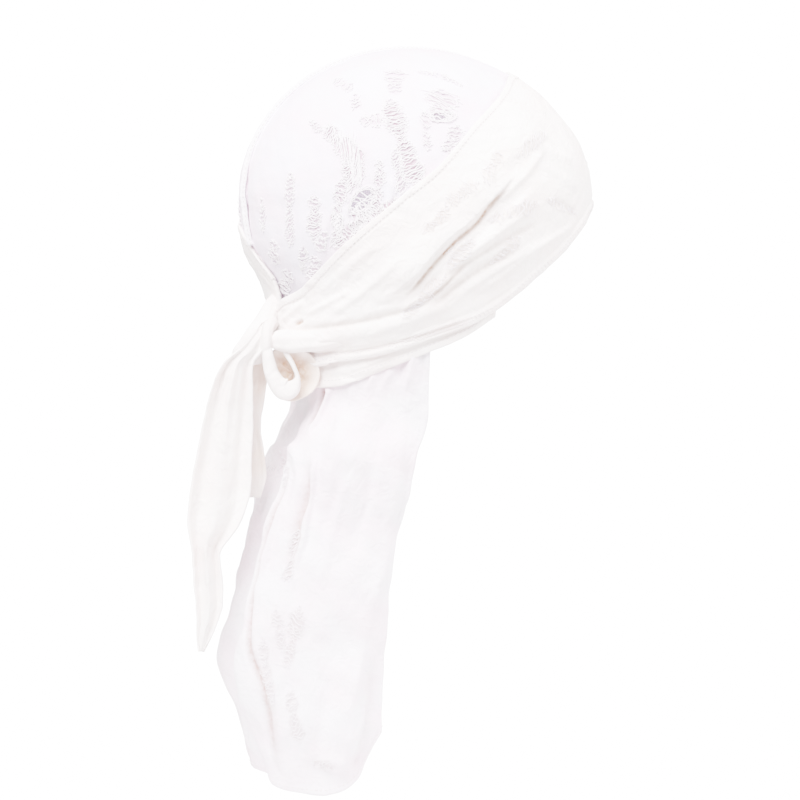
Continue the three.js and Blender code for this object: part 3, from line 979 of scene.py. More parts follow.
class Pattern:
    """A geometry node tree that turns guide lines into threads or stitches."""

    def __init__(self, name: str, inputs: Sequence[tuple[str, str, float]]) -> None:
        """Starts the tree.

        Args:
            name: Its name.
            inputs: Name, socket type and value of each of its own inputs.
        """
        self.tree = bpy.data.node_groups.new(name, "GeometryNodeTree")
        face = self.tree.interface
        face.new_socket("Geometry", in_out="INPUT", socket_type="NodeSocketGeometry")
        face.new_socket("Material", in_out="INPUT", socket_type="NodeSocketMaterial")
        for label, kind, value in inputs:
            face.new_socket(label, in_out="INPUT", socket_type=kind).default_value = value
        face.new_socket("Geometry", in_out="OUTPUT", socket_type="NodeSocketGeometry")
        self.nodes = Nodes(self.tree)
        self.given = self.nodes.add("NodeGroupInput").outputs

    def end(self, geometry: Socket) -> None:
        """Ends the tree in real geometry with its material."""
        real = self.nodes.out("GeometryNodeRealizeInstances", {"Geometry": geometry})
        smoothed = self.nodes.out("GeometryNodeSetShadeSmooth", {"Geometry": real})
        inputs = {"Geometry": smoothed, "Material": self.given["Material"]}
        self.nodes.add("NodeGroupOutput", {"Geometry": self.nodes.out("GeometryNodeSetMaterial", inputs)})

    def lay(self, name: str, guides: Sequence[Array], finish: Thread, **values: float) -> bpy.types.Object:
        """Makes one piece of this pattern.

        Args:
            name: Name of the piece.
            guides: Its guide lines in millimetres.
            finish: Its finish.
            values: Values of the tree's own inputs, by name, with a capital.

        Returns:
            The piece as a plain mesh.
        """
        points = np.concatenate(guides) * METRES
        starts = np.cumsum([0, *[len(g) for g in guides]])
        edges = [(i, i + 1) for a, b in zip(starts, starts[1:]) for i in range(a, b - 1)]
        mesh = bpy.data.meshes.new(name)
        mesh.from_pydata(points.tolist(), edges, [])
        piece = placed(name, mesh)
        modifier = piece.modifiers.new("pattern", "NODES")
        modifier.node_group = self.tree
        chosen = {"Material": finish.material(), **{k.capitalize(): v for k, v in values.items()}}
        for item in self.tree.interface.items_tree:
            if item.in_out == "INPUT" and item.name in chosen:
                modifier[item.identifier] = chosen[item.name]
        return settled(piece)


def thread_pattern() -> Pattern:
    """Pattern of loose threads: each guide becomes a thin round thread with a random waver."""
    pattern = Pattern(
        "loose_threads",
        (
            ("Radius", "NodeSocketFloat", 0.2 * METRES),
            ("Waver", "NodeSocketFloat", 0.3 * METRES),
            ("Seed", "NodeSocketFloat", 1.0),
        ),
    )
    nodes, given = pattern.nodes, pattern.given
    curve = nodes.out("GeometryNodeMeshToCurve", {"Mesh": given["Geometry"]})
    place = nodes.out("GeometryNodeInputPosition")
    inputs = {"Vector": place, "W": given["Seed"], "Scale": 420.0, "Detail": 1.0}
    noise = nodes.add("ShaderNodeTexNoise", inputs, noise_dimensions="4D").outputs["Color"]
    centred = nodes.out("ShaderNodeVectorMath", {0: noise, 1: (0.5, 0.5, 0.5)}, operation="SUBTRACT")
    waver = nodes.out("ShaderNodeVectorMath", {0: centred, "Scale": given["Waver"]}, operation="SCALE")
    moved = nodes.out("GeometryNodeSetPosition", {"Geometry": curve, "Offset": waver})
    ring = nodes.out("GeometryNodeCurvePrimitiveCircle", {"Resolution": 5, "Radius": given["Radius"]})
    inputs = {"Curve": moved, "Profile Curve": ring, "Fill Caps": True}
    pattern.end(nodes.out("GeometryNodeCurveToMesh", inputs))
    return pattern


def stitch_pattern() -> Pattern:
    """Pattern of stitches: short round stitches at an even spacing along each guide."""
    pattern = Pattern(
        "stitches",
        (
            ("Spacing", "NodeSocketFloat", 2.6 * METRES),
            ("Length", "NodeSocketFloat", 0.95 * METRES),
            ("Radius", "NodeSocketFloat", 0.3 * METRES),
        ),
    )
    nodes, given = pattern.nodes, pattern.given
    curve = nodes.out("GeometryNodeMeshToCurve", {"Mesh": given["Geometry"]})
    inputs = {"Curve": curve, "Length": given["Spacing"]}
    spaced = nodes.out("GeometryNodeResampleCurve", inputs, mode="LENGTH")
    bead = nodes.out("GeometryNodeMeshIcoSphere", {"Radius": 1.0, "Subdivisions": 1})
    inputs = {"X": given["Length"], "Y": given["Radius"], "Z": given["Radius"]}
    size = nodes.out("ShaderNodeCombineXYZ", inputs)
    tangent = nodes.out("GeometryNodeInputTangent")
    turn = nodes.out("FunctionNodeAlignRotationToVector", {"Vector": tangent}, axis="X")
    inputs = {"Points": spaced, "Instance": bead, "Rotation": turn, "Scale": size}
    pattern.end(nodes.out("GeometryNodeInstanceOnPoints", inputs))
    return pattern


class Course:
    """The route of a ladder on folded cloth, and the loose threads that it carries."""

    def __init__(self, skin: Skin, ladder: Ladder, side: Side, chance: np.random.Generator) -> None:
        """Lays the route.

        Args:
            skin: The folded cloth.
            ladder: The worn stretch.
            side: The side that it is on.
            chance: Source of the random draws.
        """
        self.skin, self.ladder, self.chance = skin, ladder, chance
        self.route = skin.place(bent(ladder.route, 4.0), side)
        self.run = run_of(self.route)
        self.along = unit(np.gradient(self.route, axis=0))
        outward = np.array([skin.tree.find_nearest(Vector(point))[1] for point in self.route])
        self.across = unit(np.cross(outward, self.along))

    def thread(self, place: Array | float, aside: Array, rise: Array, drop: Array | float = 0.0) -> Array:
        """Points of a thread.

        Args:
            place: How far down the route they are.
            aside: How far to the side of it.
            rise: How far off the cloth.
            drop: How far they sag down the route from their place.

        Returns:
            The points.
        """
        place, drop, _ = np.broadcast_arrays(place, drop, aside)
        route, across, along = (
            np.stack([np.interp(place, self.run, table[:, k]) for k in range(3)], axis=-1)
            for table in (self.route, self.across, self.along)
        )
        return self.skin.seat(route + across * aside[:, None] + along * drop[:, None], rise)

    def crossing(self) -> list[Array]:
        """Threads that sag and wave across the ladder, one guide line for each."""
        guides, chance, spacing = [], self.chance, self.ladder.spacing
        place, tilt, t = 0.3, chance.uniform(-0.3, 0.3), np.linspace(-1, 1, 9)
        while place < self.run[-1]:
            reach = self.ladder.half(place / self.run[-1]) * chance.uniform(0.8, 1.25)
            sag = spacing * chance.uniform(-0.6, 0.9)
            wave = spacing * 0.34 * np.sin(t * chance.uniform(4, 8) + chance.uniform(0, 6))
            drop = sag * (1 - t**2) + wave + tilt * reach * t
            rise = 0.15 + chance.uniform(0.4, 1.0) * (1 - t**2)
            guides.append(self.thread(place, reach * t, rise, drop))
            place += spacing * chance.uniform(0.5, 1.2)
            tilt += chance.normal(0, 0.1)
        return guides

    def lips(self) -> list[Array]:
        """Frayed threads along both lips of a well worn ladder, one guide line for each."""
        guides, place = [], np.arange(0, self.run[-1], 0.55)
        for lip in (-1.0, 1.0) if self.ladder.wear_and_shade > 0.4 else ():
            swing = 0.5 * np.sin(place * 3.1 + self.chance.uniform(0, 6))
            aside = lip * (self.ladder.half(place / self.run[-1]) + swing)
            guides.append(self.thread(place, aside, 0.3 + 0.25 * np.cos(place * 3.1)))
        return guides

    def eyelets(self) -> list[Array]:
        """Rings of thread round the ladder's eyelets, one guide line for each."""
        guides, chance, radius = [], self.chance, self.ladder.eyelets
        t = np.linspace(0, 2 * np.pi, 15)
        for place in np.arange(0.6 * radius, self.run[-1], 2.1 * radius) if radius else ():
            size = radius * chance.uniform(0.75, 1.15)
            down = place + size * np.cos(t) * chance.uniform(0.8, 1.1)
            aside = chance.uniform(-0.25, 0.25) * self.ladder.width + size * np.sin(t)
            guides.append(self.thread(down, aside, 0.9 + 0.3 * np.sin(t + chance.uniform(0, 6))))
        return guides


def ladder_threads(skin: Skin, ladders: Sequence[Ladder], seed: int, sides: Sequence[Side]) -> list[Array]:
    """Guides of the loose threads across ladders, along their frayed lips and round their eyelets.

    Args:
        skin: The folded cloth that they lie on.
        ladders: The worn stretches.
        seed: Start of the random draws on each side.
        sides: The sides that they are on.

    Returns:
        One guide line for each thread.
    """
    guides = []
    for side in sides:
        chance = np.random.default_rng(seed)
        for ladder in ladders:
            course = Course(skin, ladder, side, chance)
            if course.run[-1] >= ladder.spacing:
                guides += course.crossing() + course.lips() + course.eyelets()
    return guides


def hole_threads(skin: Skin, holes: Sequence[Hole], seed: int) -> list[Array]:
    """Guides of the frayed rims of holes and of the strands left across them.

    Args:
        skin: The folded cloth round them.
        holes: The holes.
        seed: Start of the random draws.

    Returns:
        One guide line for each thread.
    """
    chance = np.random.default_rng(seed)
    guides = []
    for hole in holes:
        ring = skin.place(hole.outline, Side.NEAR)
        middle = ring.mean(0)
        closed = bent(np.concatenate([ring, ring[:1]]), 0.7)
        for grown in (0.96, 1.08, 1.2):
            wave = chance.normal(0, 0.28, (len(closed), 3))
            guides.append(skin.seat(middle + (closed - middle) * grown + wave, 0.5 + chance.uniform(0, 0.4)))
        for _ in range(hole.strands):
            start, end = closed[chance.integers(0, len(closed), 2)]
            t = np.linspace(0, 1, 9)[:, None]
            points = start + (end - start) * t + chance.normal(0, 0.5, 3) * np.sin(np.pi * t)
            guides.append(skin.seat(points, 0.3))
    return guides


def finish_piece(piece: bpy.types.Object, slot: str, *nodes: str) -> bpy.types.Object:
    """Rides a piece on the body and hides the imported parts of the nodes that it stands for."""
    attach(piece, "root")
    if nodes:
        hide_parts(*nodes)
    log.info("%s: %d faces", piece.name, len(piece.data.polygons))
    return piece


def dressed(
    cloth: Cloth, node: str, finish: Cotton, wall: float, holes: Sequence[Hole] = ()
) -> bpy.types.Object:
    """Makes a cloth the finished piece that stands for a node.

    Args:
        cloth: The cloth.
        node: Name of the node, which the piece's name starts with.
        finish: Its finish.
        wall: Thickness of the cloth in millimetres.
        holes: Places on the near side that are worn through.

    Returns:
        The piece.
    """
    piece = cloth.mesh(f"{node}_cloth", wall, holes)
    piece.data.materials.append(finish.material())
    return finish_piece(piece, finish.slot, node)


@dataclass
class Crown:
    """The two cloth panels of the cap, with the ladders and holes worn into them. Weave is half the
    width and the length that the weave is spread over, and sink is the depth, place and half width
    of the groove beside the seam."""

    wall: float = 1.1
    outer: float = 1.5
    gap: float = 0.5
    cells_long: int = 280
    cells_deep: int = 144
    weave: tuple[float, float] = (150.0, 190.0)
    hem_tuck: float = 0.05
    tail_top: float = -0.75
    sink: tuple[float, float, float] = (1.1, 3.6, 1.2)
    ripples: tuple[Ripple, ...] = (Ripple(3, 30, 0.4), Ripple(4, 9, 0.13))
    creases: Creases = Creases(40, 160, 12, 0.3, 1)
    wear_seed: int = 11
    thread_seed: int = 21
    hole_seed: int = 31
    # The last number of the first two folds paints shade in the worn tint along the groove beside the seam.
    folds: tuple[Fold, ...] = (
        Fold(((246, 140), (245.5, 190), (246, 222), (250, 241)), -1.4, 1.8, 1.8, 0.0, 0.5, 0.05, 1.0),
        Fold(((250, 241), (262, 263), (274, 281), (286, 297)), -0.6, 1.0, 1.0, 0.0, 0.05, 0.05, 0.8),
        Fold(((391, 172), (391, 195), (384, 219), (372, 236)), 1.8, 1.3, 1.3),
        Fold(((300, 150), (290, 190), (284, 230), (290, 275)), 0.7, 5, 5),
        Fold(((345, 90), (318, 140), (306, 195), (306, 250)), 0.7, 6, 6),
        Fold(((432, 122), (426, 145), (434, 168), (445, 176)), -1.0, 5, 5),
        Fold(((366, 85), (362, 120), (372, 150), (384, 176)), 0.7, 4, 4),
        Fold(((330, 205), (325, 230), (318, 262), (300, 290)), 0.9, 2.2, 2.2),
        Fold(((349, 190), (346, 215), (348, 240)), 1.0, 2, 2),
        Fold(((408, 200), (398, 214), (384, 226)), 1.2, 1.4, 1.4),
        Fold(((301, 175), (301, 215), (300, 260)), 0.5, 2.4, 2.4),
        Fold(((327, 180), (329, 215), (324, 250)), 0.6, 2.4, 2.4),
    )
    ladders: tuple[Ladder, ...] = (
        Ladder(((398, 70), (394, 80), (396, 94)), 12, 2.2, 0.4),
        Ladder(((389, 100), (395, 120), (405, 150), (413, 172), (422, 186)), 11.4, 1.15, 1.0),
        Ladder(((441, 90), (442, 98), (441, 106), (441, 119)), 16.8, 1.5, 0.6),
        Ladder(((326, 126), (336, 140), (350, 152), (357, 166), (362, 180)), 11.4, 1.15, 1.0),
        Ladder(((352, 158), (349, 172), (352, 190)), 7.2, 1.2, 1.0),
        Ladder(((379, 190), (374, 204), (368, 218), (356, 232)), 10.8, 1.5, 1.0, 1.9),
        Ladder(((396, 196), (389, 210), (377, 222), (362, 236)), 8.4, 1.4, 1.0, 1.6),
        Ladder(((379, 160), (380, 176), (378, 190)), 5.4, 1.6, 0.7),
        Ladder(((336, 80), (344, 86), (352, 90)), 7.2, 2.0, 0.35),
        Ladder(((355, 95), (357, 110)), 6, 1.8, 0.4),
        Ladder(((361, 121), (384, 121)), 7.8, 1.8, 0.5),
        Ladder(((457, 125), (454, 138), (445, 152)), 8.4, 1.6, 0.6),
        Ladder(((291, 172), (290, 205), (291, 246)), 6, 2.0, 0.5),
        Ladder(((314, 195), (315, 222), (314, 242)), 7.8, 1.6, 0.7),
        Ladder(((334, 212), (338, 230), (338, 248)), 6.6, 1.4, 0.9),
        Ladder(((275, 240), (275, 264)), 7.2, 1.9, 0.5),
        Ladder(((316, 256), (313, 280)), 7.8, 1.7, 0.6),
        Ladder(((290, 270), (284, 294)), 8.4, 1.7, 0.6),
        Ladder(((304, 246), (303, 272)), 4.8, 1.9, 0.5),
        Ladder(((345, 176), (340, 200), (334, 226)), 7, 1.4, 0.7),
        Ladder(((372, 205), (360, 222), (344, 240)), 12, 1.3, 0.8, 1.8),
        Ladder(((395, 150), (399, 172), (402, 194)), 6, 1.5, 0.6),
        Ladder(((424, 110), (426, 130), (428, 150)), 5, 2.0, 0.4),
        Ladder(((262, 200), (264, 232)), 5, 2.0, 0.35),
        Ladder(((310, 120), (322, 134)), 5, 2.2, 0.35),
        Ladder(((418, 72), (440, 76), (462, 86)), 5, 2.2, 0.35),
        Ladder(((326, 232), (318, 252)), 6, 1.8, 0.6),
    )
    holes: tuple[Hole, ...] = (
        Hole(
            ((350, 207), (354, 198), (362, 190), (371, 189), (374, 196), (370, 206), (361, 211), (352, 212)),
            strands=9,
        ),
        Hole(((430, 116), (436, 113), (446, 113), (454, 116), (448, 121), (435, 121)), 3),
        Hole(((337, 221), (341, 216), (343, 221), (341, 231), (337, 233)), 1),
    )

    def hem_level(self, wrap: "WideWrap", turn: Array) -> Array:
        """Level of the crown's lower edge, under the wide wrap and just above the tail."""
        return np.maximum(wrap.edges.read("lower", turn) + self.hem_tuck, self.tail_top)

    def panel(self, wrap: "WideWrap", side: Side) -> Cloth:
        """Smooth outer face of one panel, sewn along the middle.

        Args:
            wrap: The wrap that covers its hem.
            side: The wearer's side that it is on.

        Returns:
            The panel's cloth.
        """
        a, b = cells((-1, 1, self.cells_long + 1), (0, 1, self.cells_deep + 1))
        steep = b >= np.abs(a)
        radius = np.where(steep, b, a)
        safe = np.where(np.abs(radius) < 1e-9, 1e-9, radius)
        angle = np.where(steep, np.pi / 2 - np.pi / 4 * a / safe, np.pi / 4 * b / safe)
        x, y = radius * np.cos(angle), radius * np.sin(angle)
        turn = -np.degrees(np.arctan2(y, x)) * side.value
        way = np.hypot(x, y) * HEAD.way(self.hem_level(wrap, turn))
        grid = HEAD.off(turn, way, self.outer)
        grid[..., 1] -= side.value * self.gap / 2
        return Cloth(grid, np.stack([x * self.weave[0], y * self.weave[1]], axis=-1), HEAD.middle)

    def build(self, wrap: "WideWrap", threads: Pattern, seam: Sequence[bpy.types.Object]) -> None:
        """Builds both panels and the loose threads over their ladders.

        Args:
            wrap: The wrap that covers their hems.
            threads: Pattern of the loose threads.
            seam: Pieces of the seam that joins the panels.
        """
        depth, beside, half = self.sink
        for name, side in (("crown_right", Side.NEAR), ("crown_left", Side.FAR)):
            cloth = self.panel(wrap, side)
            cloth.rise -= depth * bell((np.abs(cloth.base[:, 1]) - beside) / half)
            cloth.ripple(self.ripples)
            cloth.crinkle(self.creases)
            cloth.fold(self.folds, side)
            cloth.fray(self.ladders, self.wear_seed, side)
            skin = cloth.formed()
            holes, joined = (self.holes, seam) if side is Side.NEAR else ((), ())
            piece = dressed(cloth, name, CROWN_COTTON, self.wall, holes)
            guides = ladder_threads(skin, self.ladders, self.thread_seed, [side])
            guides += hole_threads(skin, holes, self.hole_seed)
            loose = threads.lay(f"{name}_threads", guides, BARE_THREAD, **COARSE)
            on_it = [finish_piece(loose, CROWN_COTTON.slot), *joined]


@dataclass
class CentreSeam:
    """The raised seam between the panels, with a rolled ridge and stitches beside it."""

    half_width: float = 2.5
    height: float = 1.7
    seat: float = 2.0
    thickness: float = 1.0
    hem_tuck: float = 0.05
    stitch_line: float = 0.8
    weave: float = 150.0
    ripples: tuple[Ripple, ...] = (Ripple(8, 9, 0.12),)

    def build(self, wrap: "WideWrap", stitches: Pattern) -> list[bpy.types.Object]:
        """Builds the seam from the forehead to the nape, and its stitches.

        Args:
            wrap: The wrap that it ends under.
            stitches: Pattern of the stitches.

        Returns:
            Its two pieces.
        """
        back = float(HEAD.way(wrap.edges.read("upper", np.array(180.0)) + self.hem_tuck / 2))
        front = float(HEAD.way(wrap.edges.read("upper", np.array(0.0)))) - self.hem_tuck / 2
        along, across = cells((-front, back, 260), (-1, 1, 15))
        roll = bell((across - 0.18) / 0.42) * (1 + 0.1 * np.sin(along * 140))
        ridge = roll + 0.2 * bell((across + 0.75) / 0.2)
        grid = HEAD.off(np.where(along < 0, 0.0, 180.0), np.abs(along), self.seat + self.height * ridge)
        grid[..., 1] = -across * self.half_width
        cloth = Cloth(grid, np.stack([along * self.weave, across * self.half_width], axis=-1), HEAD.middle)
        cloth.ripple(self.ripples)
        piece = dressed(cloth, "centre_seam", SEAM_COTTON, self.thickness)
        guides = [cloth.line(cloth.edge(1, True), self.stitch_line)]
        return [piece, finish_piece(stitches.lay("seam_stitches", guides, STITCHING), "seam_cotton")]


@dataclass
class WideWrap:
    """The broad strap from the knot round the forehead and back, gathered into the knot. Weave is
    how many millimetres of cloth there are to a degree of turn and to a step of way, and bundle_spread
    is how far its swell at the knot reaches round the head in degrees, and up and down in way."""

    wall: float = 1.9
    layer: float = 3.5
    cushion: float = 2.6
    snug: float = 0.9
    seam_height: float = 1.6
    cloth_wall: float = 1.5
    gap: float = 0.5
    lift: float = 2.4
    bundle_lift: float = 7.5
    bundle_spread: tuple[float, float, float] = (22.0, 0.24, 0.085)
    knot_level: float = -0.735
    knot_swing: float = 6.0
    reach: float = 186.0
    cells_round: int = 456
    cells_across: int = 94
    weave: tuple[float, float] = (1.62, 118.0)
    deepest: float = 2.6
    upper_hem: Hem = Hem(4.2, 0.5, 3.6)
    lower_hem: Hem = Hem(6.4, 0.9, 3.2, 1.9)
    ripples: tuple[Ripple, ...] = (Ripple(5, 36, 0.45), Ripple(6, 8, 0.14))
    creases: Creases = Creases(41, 520, 13, 0.5, 0)
    wear_seed: int = 12
    thread_seed: int = 22
    edges: Table = Table(
        "turn upper lower",
        (-186, -0.62, -0.83),
        (-170, -0.515, -0.85),
        (-154, -0.45, -0.865),
        (-127, -0.226, -0.837),
        (-102, 0.1, -0.745),
        (-81, 0.488, -0.635),
        (-52, 0.756, -0.315),
        (-26, 0.815, -0.085),
        (0, 0.83, -0.04),
        (26, 0.815, -0.085),
        (52, 0.756, -0.315),
        (81, 0.488, -0.635),
        (102, 0.16, -0.745),
        (127, -0.03, -0.837),
        (154, -0.08, -0.865),
        (176, -0.215, -0.85),
        (186, -0.38, -0.84),
    )
    # Valley folds with a shade value paint shade in the worn tint along their middle, on both sides of the
    # head.
    folds: tuple[Fold, ...] = (
        Fold(((548, 118), (503, 158), (462, 203), (427, 243), (396, 274), (362, 297)), 1.8, 6.5, 10),
        Fold(
            ((520, 170), (486, 198), (470, 216), (449, 233), (429, 253), (410, 276), (388, 298)),
            2.8,
            1.1,
            8,
            lean=2.4,
        ),
        Fold(
            ((512, 182), (491, 205), (478, 223), (457, 241), (438, 261), (419, 283), (402, 302)),
            -3.8,
            1.4,
            1.2,
            painted_shade=0.9,
        ),
        Fold(((546, 146), (530, 170), (508, 192), (484, 211)), 1.8, 1.2, 5),
        Fold(((470, 262), (446, 284), (424, 304)), -1.8, 1.0, 2.2, painted_shade=0.55),
        Fold(
            ((538, 186), (510, 212), (490, 232), (468, 252), (448, 272), (430, 294), (412, 312)), 2.2, 7, 2.0
        ),
        Fold(((455, 273), (425, 294), (397, 313)), 1.6, 1.6, 1.6),
        Fold(((404, 254), (378, 280), (350, 302), (328, 316)), 1.6, 2.0, 3.4),
        Fold(((545, 222), (500, 244), (433, 283)), -1.6, 1.3, 2.6, painted_shade=0.3),
        Fold(((520, 250), (470, 278), (430, 310)), -1.8, 1.3, 2.6, painted_shade=0.35),
        Fold(((562, 232), (505, 264), (450, 302)), 1.5, 2.2, 2.2),
        Fold(((578, 222), (540, 246), (500, 276), (468, 300)), 1.2, 2.2, 2.0),
        Fold(((534, 206), (492, 236), (456, 262)), 1.3, 1.8, 1.8),
        Fold(((550, 200), (563, 205), (577, 213)), -1.3, 1.4, 1.8, painted_shade=0.3),
        Fold(((535, 160), (560, 176), (580, 190)), 0.8, 3, 3),
        Fold(((520, 135), (548, 150), (572, 160)), 0.8, 3, 3),
        Fold(((470, 296), (430, 312), (390, 326), (340, 337), (300, 341), (278, 341)), 2.0, 3.6, 4.2),
        Fold(
            ((480, 315), (440, 331), (400, 342), (360, 351), (320, 354), (280, 355)),
            -2.6,
            1.1,
            1.3,
            painted_shade=0.3,
        ),
        Fold(((440, 299), (390, 316), (340, 326), (300, 330), (280, 330)), -1.8, 1.1, 2.2, painted_shade=0.35),
        Fold(((404, 352), (360, 360), (320, 362), (284, 363)), 1.3, 1.8, 1.8),
        Fold(((303, 320), (299, 322), (294, 325)), -3.0, 1.2, 1.2, painted_shade=0.9),
        Fold(((352, 290), (326, 304), (304, 316)), 1.5, 1.8, 1.8),
        Fold(((380, 240), (345, 270), (316, 296)), 1.0, 2.4, 2.4),
        Fold(((306, 300), (294, 310), (283, 322)), 1.2, 1.8, 1.8),
    )
    ladders: tuple[Ladder, ...] = (
        Ladder(((446, 205), (458, 196), (476, 184)), 8, 1.9, 0.3),
        Ladder(((500, 152), (492, 168), (483, 183)), 8, 2.0, 0.28),
        Ladder(((517, 155), (532, 144), (546, 134)), 8, 2.0, 0.3),
        Ladder(((488, 222), (513, 212), (538, 203)), 8, 1.8, 0.3),
        Ladder(((545, 198), (560, 206), (576, 214)), 6, 2.2, 0.25),
        Ladder(((474, 240), (460, 254), (448, 268)), 9, 1.5, 0.42),
        Ladder(((446, 276), (425, 296), (404, 318)), 9, 1.7, 0.32),
        Ladder(((520, 236), (506, 250), (492, 262)), 7, 1.9, 0.28),
        Ladder(((424, 232), (438, 220), (448, 208)), 6, 2.0, 0.4),
    )

    def smooth_face(self) -> Cloth:
        """Outer face of the wrap without its folds."""
        turn, v = cells((-self.reach, self.reach, self.cells_round + 1), (0, 1, self.cells_across + 1))
        upper, lower = (HEAD.way(self.edges.read(edge, turn)) for edge in ("upper", "lower"))
        way = upper + (lower - upper) * v
        over_seam = self.seam_height * bell(turn / 6) * (1 - smooth(0, 0.3, v))
        over_nape = (self.cloth_wall + self.gap) * smooth(0.3, 0.6, v)
        swing = np.where(turn < 0, turn + 180, turn - 180)
        beyond, up, down = self.bundle_spread
        beside, below = (swing - self.knot_swing) / beyond, way - HEAD.way(self.knot_level)
        bundle = self.bundle_lift * np.exp(-(beside**2) - (below / np.where(below > 0, down, up)) ** 2)
        over_end = self.lift * (1 - smooth(-168, -158, turn)) + bundle
        sides = smooth(30, 70, np.abs(turn)) * smooth(-176, -140, -np.abs(turn))
        bulge = self.cushion * np.sin(np.pi * v) * sides
        snug = self.snug * smooth(120, 150, turn) * (1 - smooth(0, 0.3, v))
        grid = HEAD.off(turn, way, self.layer - snug + over_seam + over_nape + over_end + bulge)
        flat = np.stack([turn * self.weave[0], (v - 0.5) * (lower - upper) * self.weave[1]], axis=-1)
        return Cloth(grid, flat, HEAD.middle)

    def build(self, threads: Pattern, stitches: Pattern) -> None:
        """Builds the wrap, its loose threads and its stitched hems."""
        cloth = self.smooth_face()
        upper_edge, lower_edge = cloth.edge(1, False), cloth.edge(1, True)
        for side in Side:
            cloth.fold(self.folds, side)
            cloth.fray(self.ladders, self.wear_seed, side)
        cloth.ripple(self.ripples)
        cloth.crinkle(self.creases)
        cloth.hold(self.deepest)
        cloth.hem(upper_edge, self.upper_hem)
        cloth.hem(lower_edge, self.lower_hem)
        skin = cloth.formed()
        piece = dressed(cloth, "wide_wrap", STRAP_COTTON, self.wall)
        guides = ladder_threads(skin, self.ladders, self.thread_seed, list(Side))
        loose = finish_piece(threads.lay("wide_wrap_threads", guides, BARE_THREAD, **FINE), "strap_cotton")
        lines = [
            cloth.line(upper_edge, self.upper_hem.stitches),
            cloth.line(lower_edge, self.lower_hem.stitches, self.lower_hem.zigzag),
        ]
        sewn = finish_piece(stitches.lay("wide_wrap_stitches", lines, STITCHING), "strap_cotton")


@dataclass
class NapeWrap:
    """The narrow strip of the first pass that shows under the wide wrap. Weave is how many
    millimetres of cloth there are to a degree of swing, and across it."""

    wall: float = 1.2
    layer: float = 3.5
    reach: float = 104.0
    lap: float = 0.1
    weave: tuple[float, float] = (1.5, 34.0)
    hem: Hem = Hem(4.5, 0.6, 3.9)
    ripples: tuple[Ripple, ...] = (Ripple(7, 12, 0.15),)
    edge: Table = Table(
        "swing lower",
        (0, -1),
        (34, -0.995),
        (48, -0.95),
        (60, -0.9),
        (77, -0.82),
        (92, -0.745),
        (104, -0.63),
    )
    folds: tuple[Fold, ...] = (
        Fold(((420, 358), (380, 371), (330, 380)), -0.8, 1.0, 1.0),
        Fold(((392, 352), (360, 368), (320, 372)), 0.7, 1.4, 1.4),
    )

    def build(self, wrap: WideWrap, stitches: Pattern) -> None:
        """Builds the strip and its stitched hem."""
        swing, v = cells((-self.reach, self.reach, 220), (0, 1, 26))
        turn = np.where(swing < 0, 180 + swing, swing - 180)
        upper = HEAD.way(wrap.edges.read("lower", turn) + self.lap)
        lower = HEAD.way(self.edge.read("lower", np.abs(swing)))
        grid = HEAD.off(180 + swing, upper + (lower - upper) * v, self.layer)
        flat = np.stack([swing * self.weave[0], v * self.weave[1]], axis=-1)
        cloth = Cloth(grid, flat, HEAD.middle)
        for side in Side:
            cloth.fold(self.folds, side)
        lower_edge = cloth.edge(1, True)
        cloth.ripple(self.ripples)
        cloth.hem(lower_edge, self.hem)
        piece = dressed(cloth, "nape_wrap", STRAP_COTTON, self.wall)
        lines = [cloth.line(lower_edge, self.hem.stitches)]
        sewn = finish_piece(stitches.lay("nape_wrap_stitches", lines, STITCHING), "strap_cotton")


